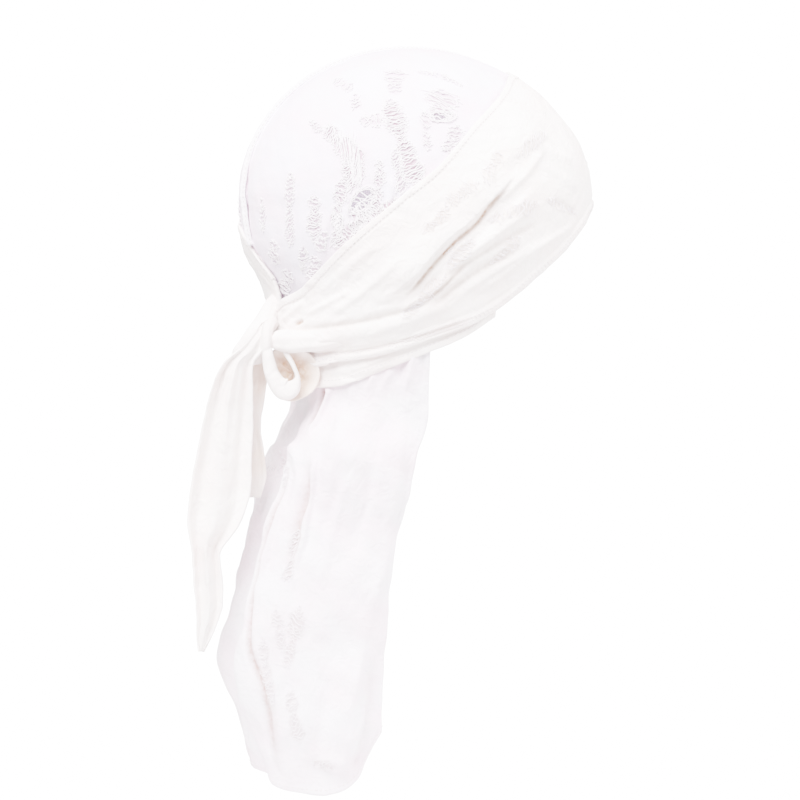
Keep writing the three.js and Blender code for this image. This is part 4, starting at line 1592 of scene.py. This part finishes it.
@dataclass
class Tail:
    """The long flap under the knot, with its pleats, its far lobe and its rounded hem. Inside is a
    point between its two sides, weave is half the width that the weave is spread over, far_shade
    is how much painted shade the far lobe gets in the worn tint, and the pairs named from are
    where in millimetres a change starts and is full."""

    wall: float = 1.2
    length: float = 247.0
    half_breadth: float = 66.0
    depth: float = 58.0
    swing: float = 110.0
    half_wall: float = 0.8
    spread: float = 79.0
    top: float = -0.76
    leaves: float = 0.115
    eases: float = 0.15
    far_shade: float = 0.3
    far_from: tuple[float, float] = (-4.0, 18.0)
    free_from: tuple[float, float] = (20.0, 50.0)
    groove_spread: float = 0.11
    inside: tuple[float, float, float] = (40.0, 0.0, -250.0)
    weave: float = 150.0
    cells_round: int = 190
    cells_down: int = 168
    hem: Hem = Hem(3.6, 0.5, 3.2)
    ripples: tuple[Ripple, ...] = (Ripple(9, 46, 1.4), Ripple(10, 18, 0.5))
    creases: Creases = Creases(42, 420, 22, 0.8, 1)
    wear_seed: int = 13
    thread_seed: int = 23
    sections: Table = Table(
        "fall middle depth breadth wrap groove",
        (0, 0.16, 0.97, 0.97, 96, 0.02),
        (0.1, 0.16, 0.97, 0.97, 96, 0.06),
        (0.16, 0.17, 0.98, 0.96, 96, 0.16),
        (0.25, 0.22, 0.97, 0.9, 95, 0.22),
        (0.36, 0.31, 0.94, 0.81, 101, 0.26),
        (0.48, 0.395, 0.93, 0.74, 106, 0.24),
        (0.6, 0.465, 0.94, 0.71, 112, 0.2),
        (0.71, 0.505, 0.95, 0.66, 116, 0.18),
        (0.82, 0.51, 0.82, 0.6, 120, 0.16),
        (0.92, 0.495, 0.67, 0.55, 122, 0.14),
        (1, 0.47, 0.56, 0.5, 122, 0.1),
    )
    hem_rows: Table = Table(
        "across short",
        (-1, 0.14),
        (-0.86, 0.04),
        (-0.62, 0.002),
        (-0.34, 0.006),
        (-0.14, 0.025),
        (0, 0.04),
        (0.3, 0.055),
        (0.62, 0.05),
        (0.86, 0.08),
        (1, 0.17),
    )
    # The tuck under the knot, the turn at the lower right and the crease down the near lobe paint shade in
    # the worn tint, as their last number.
    folds: tuple[Fold, ...] = (
        Fold(((332, 384), (324, 407), (314, 430), (306, 446)), 3.0, 1.1, 6, 0.8, 0.15, 0.35),
        Fold(((324, 385), (317, 407), (308, 428)), -4.8, 2.6, 1.5, 0.0, 0.12, 0.2, 1.0),
        Fold(((350, 640), (350, 690), (343, 735), (334, 775)), 6.0, 8, 14, 0.0, 0.3, 0.1),
        Fold(((371, 650), (369, 700), (362, 740), (352, 772)), -1.4, 4, 4, 0.0, 0.3, 0.1, 0.22),
        Fold(((368, 690), (360, 720), (346, 745)), 1.4, 2.4, 2.4),
        Fold(((372, 712), (362, 742), (350, 762)), 1.3, 2.2, 2.2),
        Fold(((412, 350), (408, 370), (403, 398)), 3.0, 4, 0.8, 0.6, 0.15, 0.5),
        Fold(((404, 356), (400, 374), (396, 392)), -2.0, 1.0, 2.4, 0.0, 0.2, 0.5),
        Fold(((320, 440), (315, 478), (307, 512), (302, 545), (292, 580)), 3.4, 1.4, 8, 0.6, 0.3, 0.3),
        Fold(
            ((313, 455), (306, 492), (299, 520), (294, 548), (284, 576)), -4.2, 1.8, 3.4, 0.0, 0.3, 0.3, 0.8
        ),
        Fold(((292, 440), (296, 480), (284, 520), (272, 560)), 1.6, 3.0, 3.0),
        Fold(((262, 665), (268, 700), (274, 735), (279, 775)), 1.6, 3, 2.0),
        Fold(((254, 670), (262, 705), (268, 738), (272, 765)), -1.4, 1.4, 2.2),
        Fold(((345, 400), (340, 440), (332, 480), (322, 520)), 2.6, 3.4, 5),
        Fold(((382, 400), (374, 460), (362, 520), (344, 580)), -2.4, 4, 6),
        Fold(((404, 410), (396, 480), (384, 560), (366, 620)), 2.4, 4, 5),
        Fold(((378, 560), (368, 620), (352, 680), (334, 730)), 2.0, 4, 6),
        Fold(((350, 470), (330, 540), (318, 600)), 1.7, 2.6, 3.4),
        Fold(((374, 370), (371, 380), (365, 394)), 1.5, 2.2, 0.9, 0.0, 0.3, 0.6),
        Fold(((390, 365), (386, 378), (378, 392)), 1.5, 2.2, 0.9, 0.0, 0.3, 0.6),
        Fold(((350, 378), (352, 392), (348, 420)), 1.0, 2.2, 2.2, 0.0, 0.3, 0.6),
        Fold(((302, 585), (298, 640), (300, 700), (306, 760)), 2.0, 4, 3),
        Fold(((330, 620), (326, 690), (320, 740), (316, 780)), -1.6, 4, 4),
        Fold(((380, 640), (372, 700), (362, 745), (350, 780)), -1.4, 3, 5),
        Fold(((268, 560), (262, 600), (260, 640)), 1.0, 2.4, 2.4),
        Fold(((276, 590), (270, 640), (280, 700), (288, 750)), 1.0, 2.6, 2.6),
    )
    # The valley along the near lobe's edge paints shade in the worn tint.
    lobe_edge: tuple[Fold, ...] = (
        Fold(
            ((288, 458), (276, 506), (259, 562), (251, 604), (250, 652), (265, 692), (273, 737), (278, 780)),
            -4.2,
            3.2,
            1.3,
            painted_shade=0.9,
        ),
        Fold(
            ((293, 458), (281, 508), (264, 566), (256, 606), (255, 654), (270, 694), (278, 738), (283, 778)),
            2.8,
            1.2,
            7,
        ),
    )
    ladders: tuple[Ladder, ...] = (
        Ladder(((300, 606), (293, 640), (286, 668)), 9, 1.8, 0.4),
        Ladder(((262, 638), (266, 670), (272, 702)), 7, 1.9, 0.33),
        Ladder(((290, 690), (295, 720), (300, 742)), 8, 1.8, 0.36),
        Ladder(((276, 610), (282, 650)), 6, 2.0, 0.3),
        Ladder(((312, 762), (334, 768)), 7, 1.9, 0.33),
        Ladder(((299, 530), (293, 556), (286, 582)), 6, 1.5, 0.5),
        Ladder(((281, 452), (286, 470), (284, 488)), 5, 1.8, 0.36),
    )

    def smooth_face(self) -> Cloth:
        """Outer face of the tail without its folds."""
        across, v = cells((-1, 1, self.cells_round + 1), (0, 1, self.cells_down + 1))
        fall = v * (1 - self.hem_rows.read("short", across))
        angle = np.radians(across * self.sections.read("wrap", fall))
        height = self.top * HEAD.nape_drop - fall * self.length
        groove = self.depth * self.sections.read("groove", fall) * bell(across / self.groove_spread)
        middle = -self.swing * self.sections.read("middle", fall)
        deep = self.depth * self.sections.read("depth", fall) + self.half_wall
        broad = self.half_breadth * self.sections.read("breadth", fall) + self.half_wall
        forward = middle - deep * np.cos(angle) + groove
        hanging = np.stack([forward, broad * np.sin(angle), height - HEAD.crown_height], axis=-1)
        on_head = HEAD.off(180 - across * self.spread, 1 - height / HEAD.nape_drop, 2 * self.half_wall)
        drop = smooth(self.leaves, self.leaves + self.eases, fall)[..., None]
        flat = np.stack([across * self.weave, fall * self.length], axis=-1)
        return Cloth(on_head + (hanging - on_head) * drop, flat, np.array(self.inside))

    def build(self, threads: Pattern, stitches: Pattern) -> None:
        """Builds the tail, its loose threads and its stitched hem."""
        cloth = self.smooth_face()
        hem_edge = cloth.edge(1, True)
        side_edges = np.minimum(cloth.edge(0, True), cloth.edge(0, False))
        free = smooth(*self.free_from, cloth.edge(1, False))
        for side in Side:
            cloth.fold(self.folds, side)
            cloth.fray(self.ladders, self.wear_seed, side)
        cloth.fold(self.lobe_edge)
        cloth.ripple(self.ripples, free)
        cloth.crinkle(self.creases)
        # painted shade: the far lobe takes the worn tint from where the far half starts, below where the tail
        # hangs free
        far = self.far_shade * smooth(*self.far_from, cloth.base[:, 1])
        cloth.wear_and_shade = np.maximum(cloth.wear_and_shade, far * free)
        cloth.hem(np.minimum(hem_edge, side_edges), self.hem)
        skin = cloth.formed()
        piece = dressed(cloth, "tail", TAIL_COTTON, self.wall)
        guides = ladder_threads(skin, self.ladders, self.thread_seed, list(Side))
        loose = finish_piece(threads.lay("tail_threads", guides, BARE_THREAD, **FINE), "tail_cotton")
        lines = [cloth.line(hem_edge, self.hem.stitches)]
        sewn = finish_piece(stitches.lay("tail_stitches", lines, STITCHING), "tail_cotton")


def swept(
    name: str, grid: Array, finish: Cotton, *nodes: str, worn: Array | float = 0.0
) -> bpy.types.Object:
    """Closed body through rings of points.

    Args:
        name: Name of the piece.
        grid: Rings along the body, each closed on itself, with the ends to be filled.
        finish: Its finish.
        nodes: The nodes that it stands for.
        worn: How much of the finish's worn tint each ring has; the knot's hollow takes it as painted shade.

    Returns:
        The piece.
    """
    rings, count = grid.shape[:2]
    last = rings * count
    caps = [list(range(count)), list(range(last - 1, last - count - 1, -1))]
    faces = grid_faces(rings, count, closed=True).tolist() + caps
    mesh = bpy.data.meshes.new(name)
    mesh.from_pydata((grid.reshape(-1, 3) * METRES).tolist(), [], faces)
    flat = np.stack(np.broadcast_arrays(run_of(grid.mean(1))[:, None], np.arange(count) * 1.2), axis=-1)
    marked(mesh, flat.reshape(-1, 2), np.broadcast_to(worn, (rings, count)))
    mesh.materials.append(finish.material())
    turned_out(mesh)
    return finish_piece(placed(name, mesh), finish.slot, *nodes)


def turned_out(mesh: bpy.types.Mesh) -> None:
    """Turns a closed mesh's faces out where its volume comes out negative."""
    mesh.calc_loop_triangles()
    corners = np.array([triangle.vertices for triangle in mesh.loop_triangles])
    a, b, c = np.array([vertex.co for vertex in mesh.vertices])[corners].transpose(1, 0, 2)
    if (a * np.cross(b, c)).sum() < 0:
        mesh.flip_normals()


@dataclass(frozen=True)
class Strand:
    """A rolled or flat strip of cloth along a route. Each row has the pixel it passes, its depth
    towards the camera, and its half width in the picture and half thickness away from it, in
    millimetres. Pleats run along it, and boxy is how square its section is."""

    rows: Sequence[tuple[float, float, float, float, float]]
    pleats: int = 3
    pleat: float = 0.05
    boxy: float = 0.8
    rings: int = 64
    points: int = 56

    def grid(self) -> Array:
        """Rings of points along the strand, drawn in at its two ends."""
        rows = bent(np.array(self.rows, dtype=float), 0.4)
        rows = rows[np.linspace(0, len(rows) - 1, self.rings).astype(int)]
        path = np.array([VIEW.at((x, y), depth) for x, y, depth, _, _ in rows])
        along = unit(np.gradient(path, axis=0))
        side = unit(np.cross(VIEW.back, along))
        deep = np.cross(along, side)
        angle = np.linspace(0, 2 * np.pi, self.points + 1)[:-1]
        wide = np.sign(np.cos(angle)) * np.abs(np.cos(angle)) ** self.boxy
        thick = np.sign(np.sin(angle)) * np.abs(np.sin(angle)) ** self.boxy
        place = np.linspace(-1, 1, self.rings)[:, None]
        end = np.sqrt(np.clip(1 - np.abs(place) ** 14, 0.004, 1))
        fold = 1 + self.pleat * np.cos(self.pleats * angle[None] * 2 + 1.5 * np.sin(2.2 * place))
        fold = fold * (1 + 0.035 * np.sin(9 * place + 2 * angle[None]))
        return (
            path[:, None]
            + side[:, None] * (rows[:, 3, None] * wide * end * fold)[..., None]
            + deep[:, None] * (rows[:, 4, None] * thick * end * fold)[..., None]
        )


@dataclass(frozen=True)
class Pocket:
    """The hollow inside the half bow: a cup of cloth whose rim passes pixels at depths. Its
    rings run from the middle of its back to the middle of its front, and each row is the ring's
    share of the rim and how many walls it lies behind the front. Its brown is painted shade in the
    worn tint: the field after the wall is the most of it, and it fades between two shares of the rim."""

    rim: Sequence[tuple[float, float, float]] = (
        (272, 352, 46),
        (286, 349, 48),
        (300, 351, 49.5),
        (310, 356, 50),
        (317, 366, 50),
        (318, 378, 49),
        (313, 389, 47.5),
        (304, 396, 45),
        (292, 400, 43),
        (281, 397, 43),
        (273, 385, 44),
        (270, 367, 45),
    )
    depth: float = 6.5
    wall: float = 0.9
    painted_hollow_shade: float = 0.85
    fades: tuple[float, float] = (0.45, 1.0)
    rings: Sequence[tuple[float, float]] = (
        (0.02, 1),
        (0.3, 1),
        (0.6, 1),
        (0.85, 1),
        (1.06, 0.5),
        (1.03, 0),
        (0.97, 0),
        (0.9, 0),
        (0.8, 0),
        (0.7, 0),
        (0.6, 0),
        (0.45, 0),
        (0.3, 0),
        (0.15, 0),
        (0.02, 0),
    )

    def shaded(self) -> Array:
        """How much painted shade each ring has: most in the middle, none at the rim."""
        return np.array([self.painted_hollow_shade * (1 - smooth(*self.fades, share)) for share, _ in self.rings])[:, None]

    def grid(self) -> Array:
        """Rings of points from the middle of its back over the rim to the middle of its front."""
        rim = np.array([VIEW.at((x, y), depth) for x, y, depth in self.rim])
        rim = bent(np.concatenate([rim, rim[:1]]), 0.8)[:-1]
        middle = rim.mean(0)
        turn = np.linspace(0, 2 * np.pi, len(rim) + 1)[:-1]
        crumple = 1 + 0.1 * np.sin(5 * turn) + 0.06 * np.sin(9 * turn + 1)
        return np.array(
            [
                middle
                + (rim - middle) * share
                - VIEW.back
                * (self.depth * np.clip(1 - share**3, 0, 1) * crumple + behind * self.wall)[:, None]
                for share, behind in self.rings
            ]
        )


@dataclass(frozen=True)
class FreeEnd:
    """A free end of the strap, pleated lengthwise and hanging from the knot. Leaves is the place
    where it leaves the knot, in radii of the knot from its middle."""

    node: str
    finish: Cotton
    seed: int
    length: float
    half: float
    leaves: tuple[float, float, float]
    rows: Table
    turn: float = 20.0
    half_wall: float = 0.7
    wall: float = 1.2
    weave: float = 40.0
    cell: float = 1.2
    hem: Hem = Hem(2.4, 0.25)

    def face(self, start: Array) -> Cloth:
        """Outer face of the end.

        Args:
            start: Where it leaves the knot.

        Returns:
            The end's cloth.
        """
        rows, length, half = self.rows, self.length, self.half
        w, v = cells((-1, 1, 61), (0, 1, int(length / self.cell) + 1))
        turn = math.radians(self.turn)
        across = np.array([math.cos(turn), -math.sin(turn), 0])
        outward = np.array([-math.sin(turn), -math.cos(turn), 0])
        pleat = half * rows.read("pleat", v) * np.cos(1.6 * np.pi * w)
        fine = 0.07 * half * np.cos(4.6 * np.pi * w + 1.2 * np.sin(3 * v)) * smooth(0.08, 0.2, v)
        fine *= 1 - 0.75 * smooth(0.2, 0.5, v)
        aside = half * rows.read("half", v) * w - length * rows.read("out", v)
        forward = pleat + fine + length * rows.read("side", v) + self.half_wall
        grid = start + across * aside[..., None] + outward * forward[..., None] - UP * (length * v)[..., None]
        cloth = Cloth(grid, np.stack([w * self.weave, v * length], axis=-1), start - 200 * outward)
        cloth.ripple([Ripple(self.seed, 14, 0.25)])
        cloth.crinkle(Creases(self.seed, int(length), 12, 0.45, 1))
        cloth.hem(np.minimum(cloth.edge(0, False), cloth.edge(0, True)), self.hem)
        cloth.rise *= 1 - smooth(0.88, 0.99, v.reshape(-1))
        return cloth

    def build(self, knot: Array, radius: float) -> bpy.types.Object:
        """Builds the end from the knot's middle and radius."""
        face = self.face(knot + radius * np.array(self.leaves))
        return dressed(face, self.node, self.finish, self.wall)


@dataclass
class Tie:
    """The knot at the nape, its half bow and the two free ends."""

    band_length: float = 8.5
    radius: float = 10.5
    nose: float = 0.62
    band: Strand = Strand(
        (
            (275, 320, 42, 1.8, 3.0),
            (269, 325, 48, 2.8, 3.8),
            (266.5, 335, 51, 3.1, 4.0),
            (266, 346, 51, 3.1, 4.0),
            (267, 356, 48, 2.6, 3.4),
            (270, 366, 44, 2.0, 2.6),
        ),
        pleats=2,
        pleat=0.06,
        boxy=0.6,
    )
    bundle: Strand = Strand(
        (
            (272, 341, 46, 3.6, 4.0),
            (275, 341, 47.5, 5.2, 5.2),
            (282, 341, 49.5, 5.9, 5.6),
            (292, 341.5, 51, 5.9, 5.4),
            (304, 342, 53, 5.4, 4.6),
            (318, 342, 56, 4.6, 3.2),
            (334, 341, 59.5, 3.6, 2.2),
            (350, 339, 62.5, 2.4, 1.4),
        ),
        pleats=3,
        pleat=0.05,
        boxy=0.9,
    )
    shoulder: Strand = Strand(
        (
            (281, 290, 20, 2.0, 2.0),
            (274, 301, 29, 3.6, 3.0),
            (268, 314, 38, 5.0, 3.4),
            (261, 330, 43, 6.4, 3.4),
            (253, 345, 44, 7.8, 3.2),
            (247, 357, 43, 8.6, 2.4),
            (245, 364, 41, 7.8, 1.4),
        ),
        pleats=4,
        pleat=0.025,
        boxy=1.0,
    )
    back_turn: Strand = Strand(
        (
            (279, 322, 38, 1.6, 2.4),
            (272, 325, 38, 3.0, 4.2),
            (264, 333, 38, 3.4, 5.2),
            (261, 344, 38, 3.2, 5.4),
            (263, 355, 38, 3.0, 5.0),
            (270, 362, 38, 2.6, 4.0),
        ),
        pleats=2,
        pleat=0.06,
    )
    bow: Strand = Strand(
        (
            (267.5, 340, 50, 2.0, 2.6),
            (267.5, 352, 51, 2.9, 3.6),
            (269, 363, 50.5, 3.3, 4.2),
            (272, 374, 50, 3.8, 4.6),
            (277.5, 384, 49.5, 4.8, 4.8),
            (285, 389.5, 49.5, 5.6, 4.8),
            (293, 387, 49.5, 4.2, 4.2),
            (297.5, 378, 49.5, 1.5, 3.6),
            (294, 367, 49.5, 1.2, 3.4),
            (289, 358, 49, 1.4, 3.2),
            (284, 351, 47, 1.8, 2.8),
        ),
        pleats=1,
        pleat=0.05,
        boxy=0.7,
        rings=96,
    )
    pocket: Pocket = Pocket()
    long_end: FreeEnd = FreeEnd(
        "tie_end_long",
        STRAP_COTTON,
        seed=14,
        length=180.0,
        half=16.0,
        leaves=(-0.071, -0.552, 1.286),
        rows=Table(
            "fall out side half pleat",
            (0, 0, 0, 0.17, 0.04),
            (0.04, 0.023, 0.035, 0.26, 0.05),
            (0.09, 0.056, 0.05, 0.38, 0.08),
            (0.13, 0.093, 0.05, 0.5, 0.14),
            (0.2, 0.111, 0.045, 0.68, 0.22),
            (0.29, 0.123, 0.035, 0.81, 0.2),
            (0.4, 0.137, 0.03, 0.9, 0.2),
            (0.53, 0.151, 0.025, 1, 0.18),
            (0.62, 0.17, 0.025, 0.83, 0.2),
            (0.69, 0.19, 0.025, 0.47, 0.22),
            (0.78, 0.185, 0.025, 0.45, 0.18),
            (0.87, 0.182, 0.025, 0.42, 0.12),
            (0.955, 0.198, 0.025, 0.24, 0.06),
            (1, 0.206, 0.025, 0.06, 0),
        ),
    )
    # The short end's darker finish is painted shade.
    short_end: FreeEnd = FreeEnd(
        "tie_end_short",
        SHADED_STRAP_COTTON,
        seed=15,
        length=78.0,
        half=8.0,
        leaves=(-0.714, 0.476, -0.5),
        rows=Table(
            "fall out side half pleat",
            (0, -0.01, -0.02, 0.7, 0.15),
            (0.12, -0.01, -0.03, 1.0, 0.2),
            (0.5, 0.03, -0.03, 0.85, 0.2),
            (0.85, 0, -0.03, 0.95, 0.14),
            (1, 0.03, -0.03, 0.85, 0.1),
        ),
    )

    def centre(self, wrap: WideWrap) -> Array:
        """Middle of the knot, on the wrap where its bundle swells most."""
        under = 3 * wrap.cloth_wall + 2 * wrap.gap + wrap.lift + wrap.bundle_lift
        height = under + wrap.gap + self.nose * self.band_length
        way = HEAD.way(wrap.knot_level)
        return HEAD.off(np.array(wrap.knot_swing - 180), way, np.array(height))

    def build(self, wrap: WideWrap) -> None:
        """Builds the knot, its half bow with the hollow in it, and both free ends."""
        swept("knot_band", self.band.grid(), STRAP_COTTON, "knot")
        swept("knot_bundle", self.bundle.grid(), STRAP_COTTON)
        swept("knot_turn", self.back_turn.grid(), STRAP_COTTON)
        swept("knot_shoulder", self.shoulder.grid(), STRAP_COTTON)
        swept("knot_loop_cloth", self.bow.grid(), STRAP_COTTON, "knot_loop")
        # The hollow's colour is painted shade: the darker strap cotton, browned further toward its middle.
        swept("knot_hollow", self.pocket.grid(), SHADED_STRAP_COTTON, worn=self.pocket.shaded())
        knot = self.centre(wrap)
        piece = self.long_end.build(knot, self.radius)
        piece = self.short_end.build(knot, self.radius)


@dataclass(frozen=True)
class Studio:
    """Plain pale floor, white room, a soft light from the upper left and a weak one from the right."""

    floor_height: float = -0.46
    floor_radius: float = 0.42
    floor_wall: float = 0.02
    floor_sides: int = 96
    floor_tint: Tint = (0.9, 0.9, 0.9)
    floor_roughness: float = 0.9
    room: float = 1.8
    room_tint: Tint = (1.0, 0.94, 0.93)
    white: float = 20.0
    key_watts: float = 480.0
    key_size: float = 1.3
    fill_watts: float = 160.0
    fill_size: float = 0.9
    key_place: tuple[float, float, float] = (-0.5, 1.15, 1.3)
    fill_place: tuple[float, float, float] = (1.5, 0.15, 0.7)

    def build(self) -> None:
        """Makes the floor, the room's even light and the two lights."""
        self.floor()
        self.room_light()
        self.light("key", self.key_watts, self.key_size, self.key_place)
        self.light("fill", self.fill_watts, self.fill_size, self.fill_place)

    def light(self, name: str, watts: float, size: float, place: tuple[float, float, float]) -> None:
        """Makes one broad light that looks at the object.

        Args:
            name: Its name.
            watts: Its power.
            size: Its width in metres.
            place: How far right, back and up it stands from the object's middle, in metres.
        """
        data = bpy.data.lights.new(name, "AREA")
        data.energy = watts
        data.size = size
        lamp = placed(name, data)
        away = VIEW.right * place[0] + VIEW.back * place[1] + UP * place[2]
        lamp.location = Vector(away + UP * VIEW.height * METRES)
        lamp.rotation_euler = Vector(away).to_track_quat("Z", "Y").to_euler()

    def floor(self) -> None:
        """Makes the round floor under the object."""
        count = self.floor_sides
        turns = np.linspace(0, 2 * np.pi, count + 1)[:-1]
        levels = (self.floor_height, self.floor_height - self.floor_wall)
        ring = [(self.floor_radius * math.cos(t), self.floor_radius * math.sin(t)) for t in turns]
        faces = [list(range(count)), list(range(2 * count - 1, count - 1, -1))]
        faces += [[i, i + count, (i + 1) % count + count, (i + 1) % count] for i in range(count)]
        mesh = bpy.data.meshes.new("floor")
        mesh.from_pydata([(x, y, z) for z in levels for x, y in ring], [], faces)
        material = bpy.data.materials.new("pale_floor")
        material.use_nodes = True
        shader = material.node_tree.nodes["Principled BSDF"]
        shader.inputs["Base Color"].default_value = (*self.floor_tint, 1)
        shader.inputs["Roughness"].default_value = self.floor_roughness
        mesh.materials.append(material)
        placed("floor", mesh)

    def room_light(self) -> None:
        """Lights the object evenly from a white room that shows as pure white."""
        world = bpy.data.worlds.new("white_room")
        bpy.context.scene.world = world
        world.use_nodes = True
        world.node_tree.nodes.clear()
        nodes = Nodes(world.node_tree)
        seen = nodes.add("ShaderNodeLightPath").outputs["Is Camera Ray"]
        strength = nodes.plus(nodes.times(seen, self.white - self.room), self.room)
        colour = nodes.mix(seen, self.room_tint, (1, 1, 1))
        light = nodes.out("ShaderNodeBackground", {"Color": colour, "Strength": strength})
        nodes.add("ShaderNodeOutputWorld", {"Surface": light})


def main() -> None:
    """Builds the camera, the light and every piece, in order."""
    logging.basicConfig(level=logging.INFO, format="%(message)s")
    VIEW.make()
    Studio().build()
    threads, stitches = thread_pattern(), stitch_pattern()
    wrap = WideWrap()
    seam = CentreSeam().build(wrap, stitches)
    Crown().build(wrap, threads, seam)
    wrap.build(threads, stitches)
    NapeWrap().build(wrap, stitches)
    Tail().build(threads, stitches)
    Tie().build(wrap)


if __name__ == "__main__":
    main()
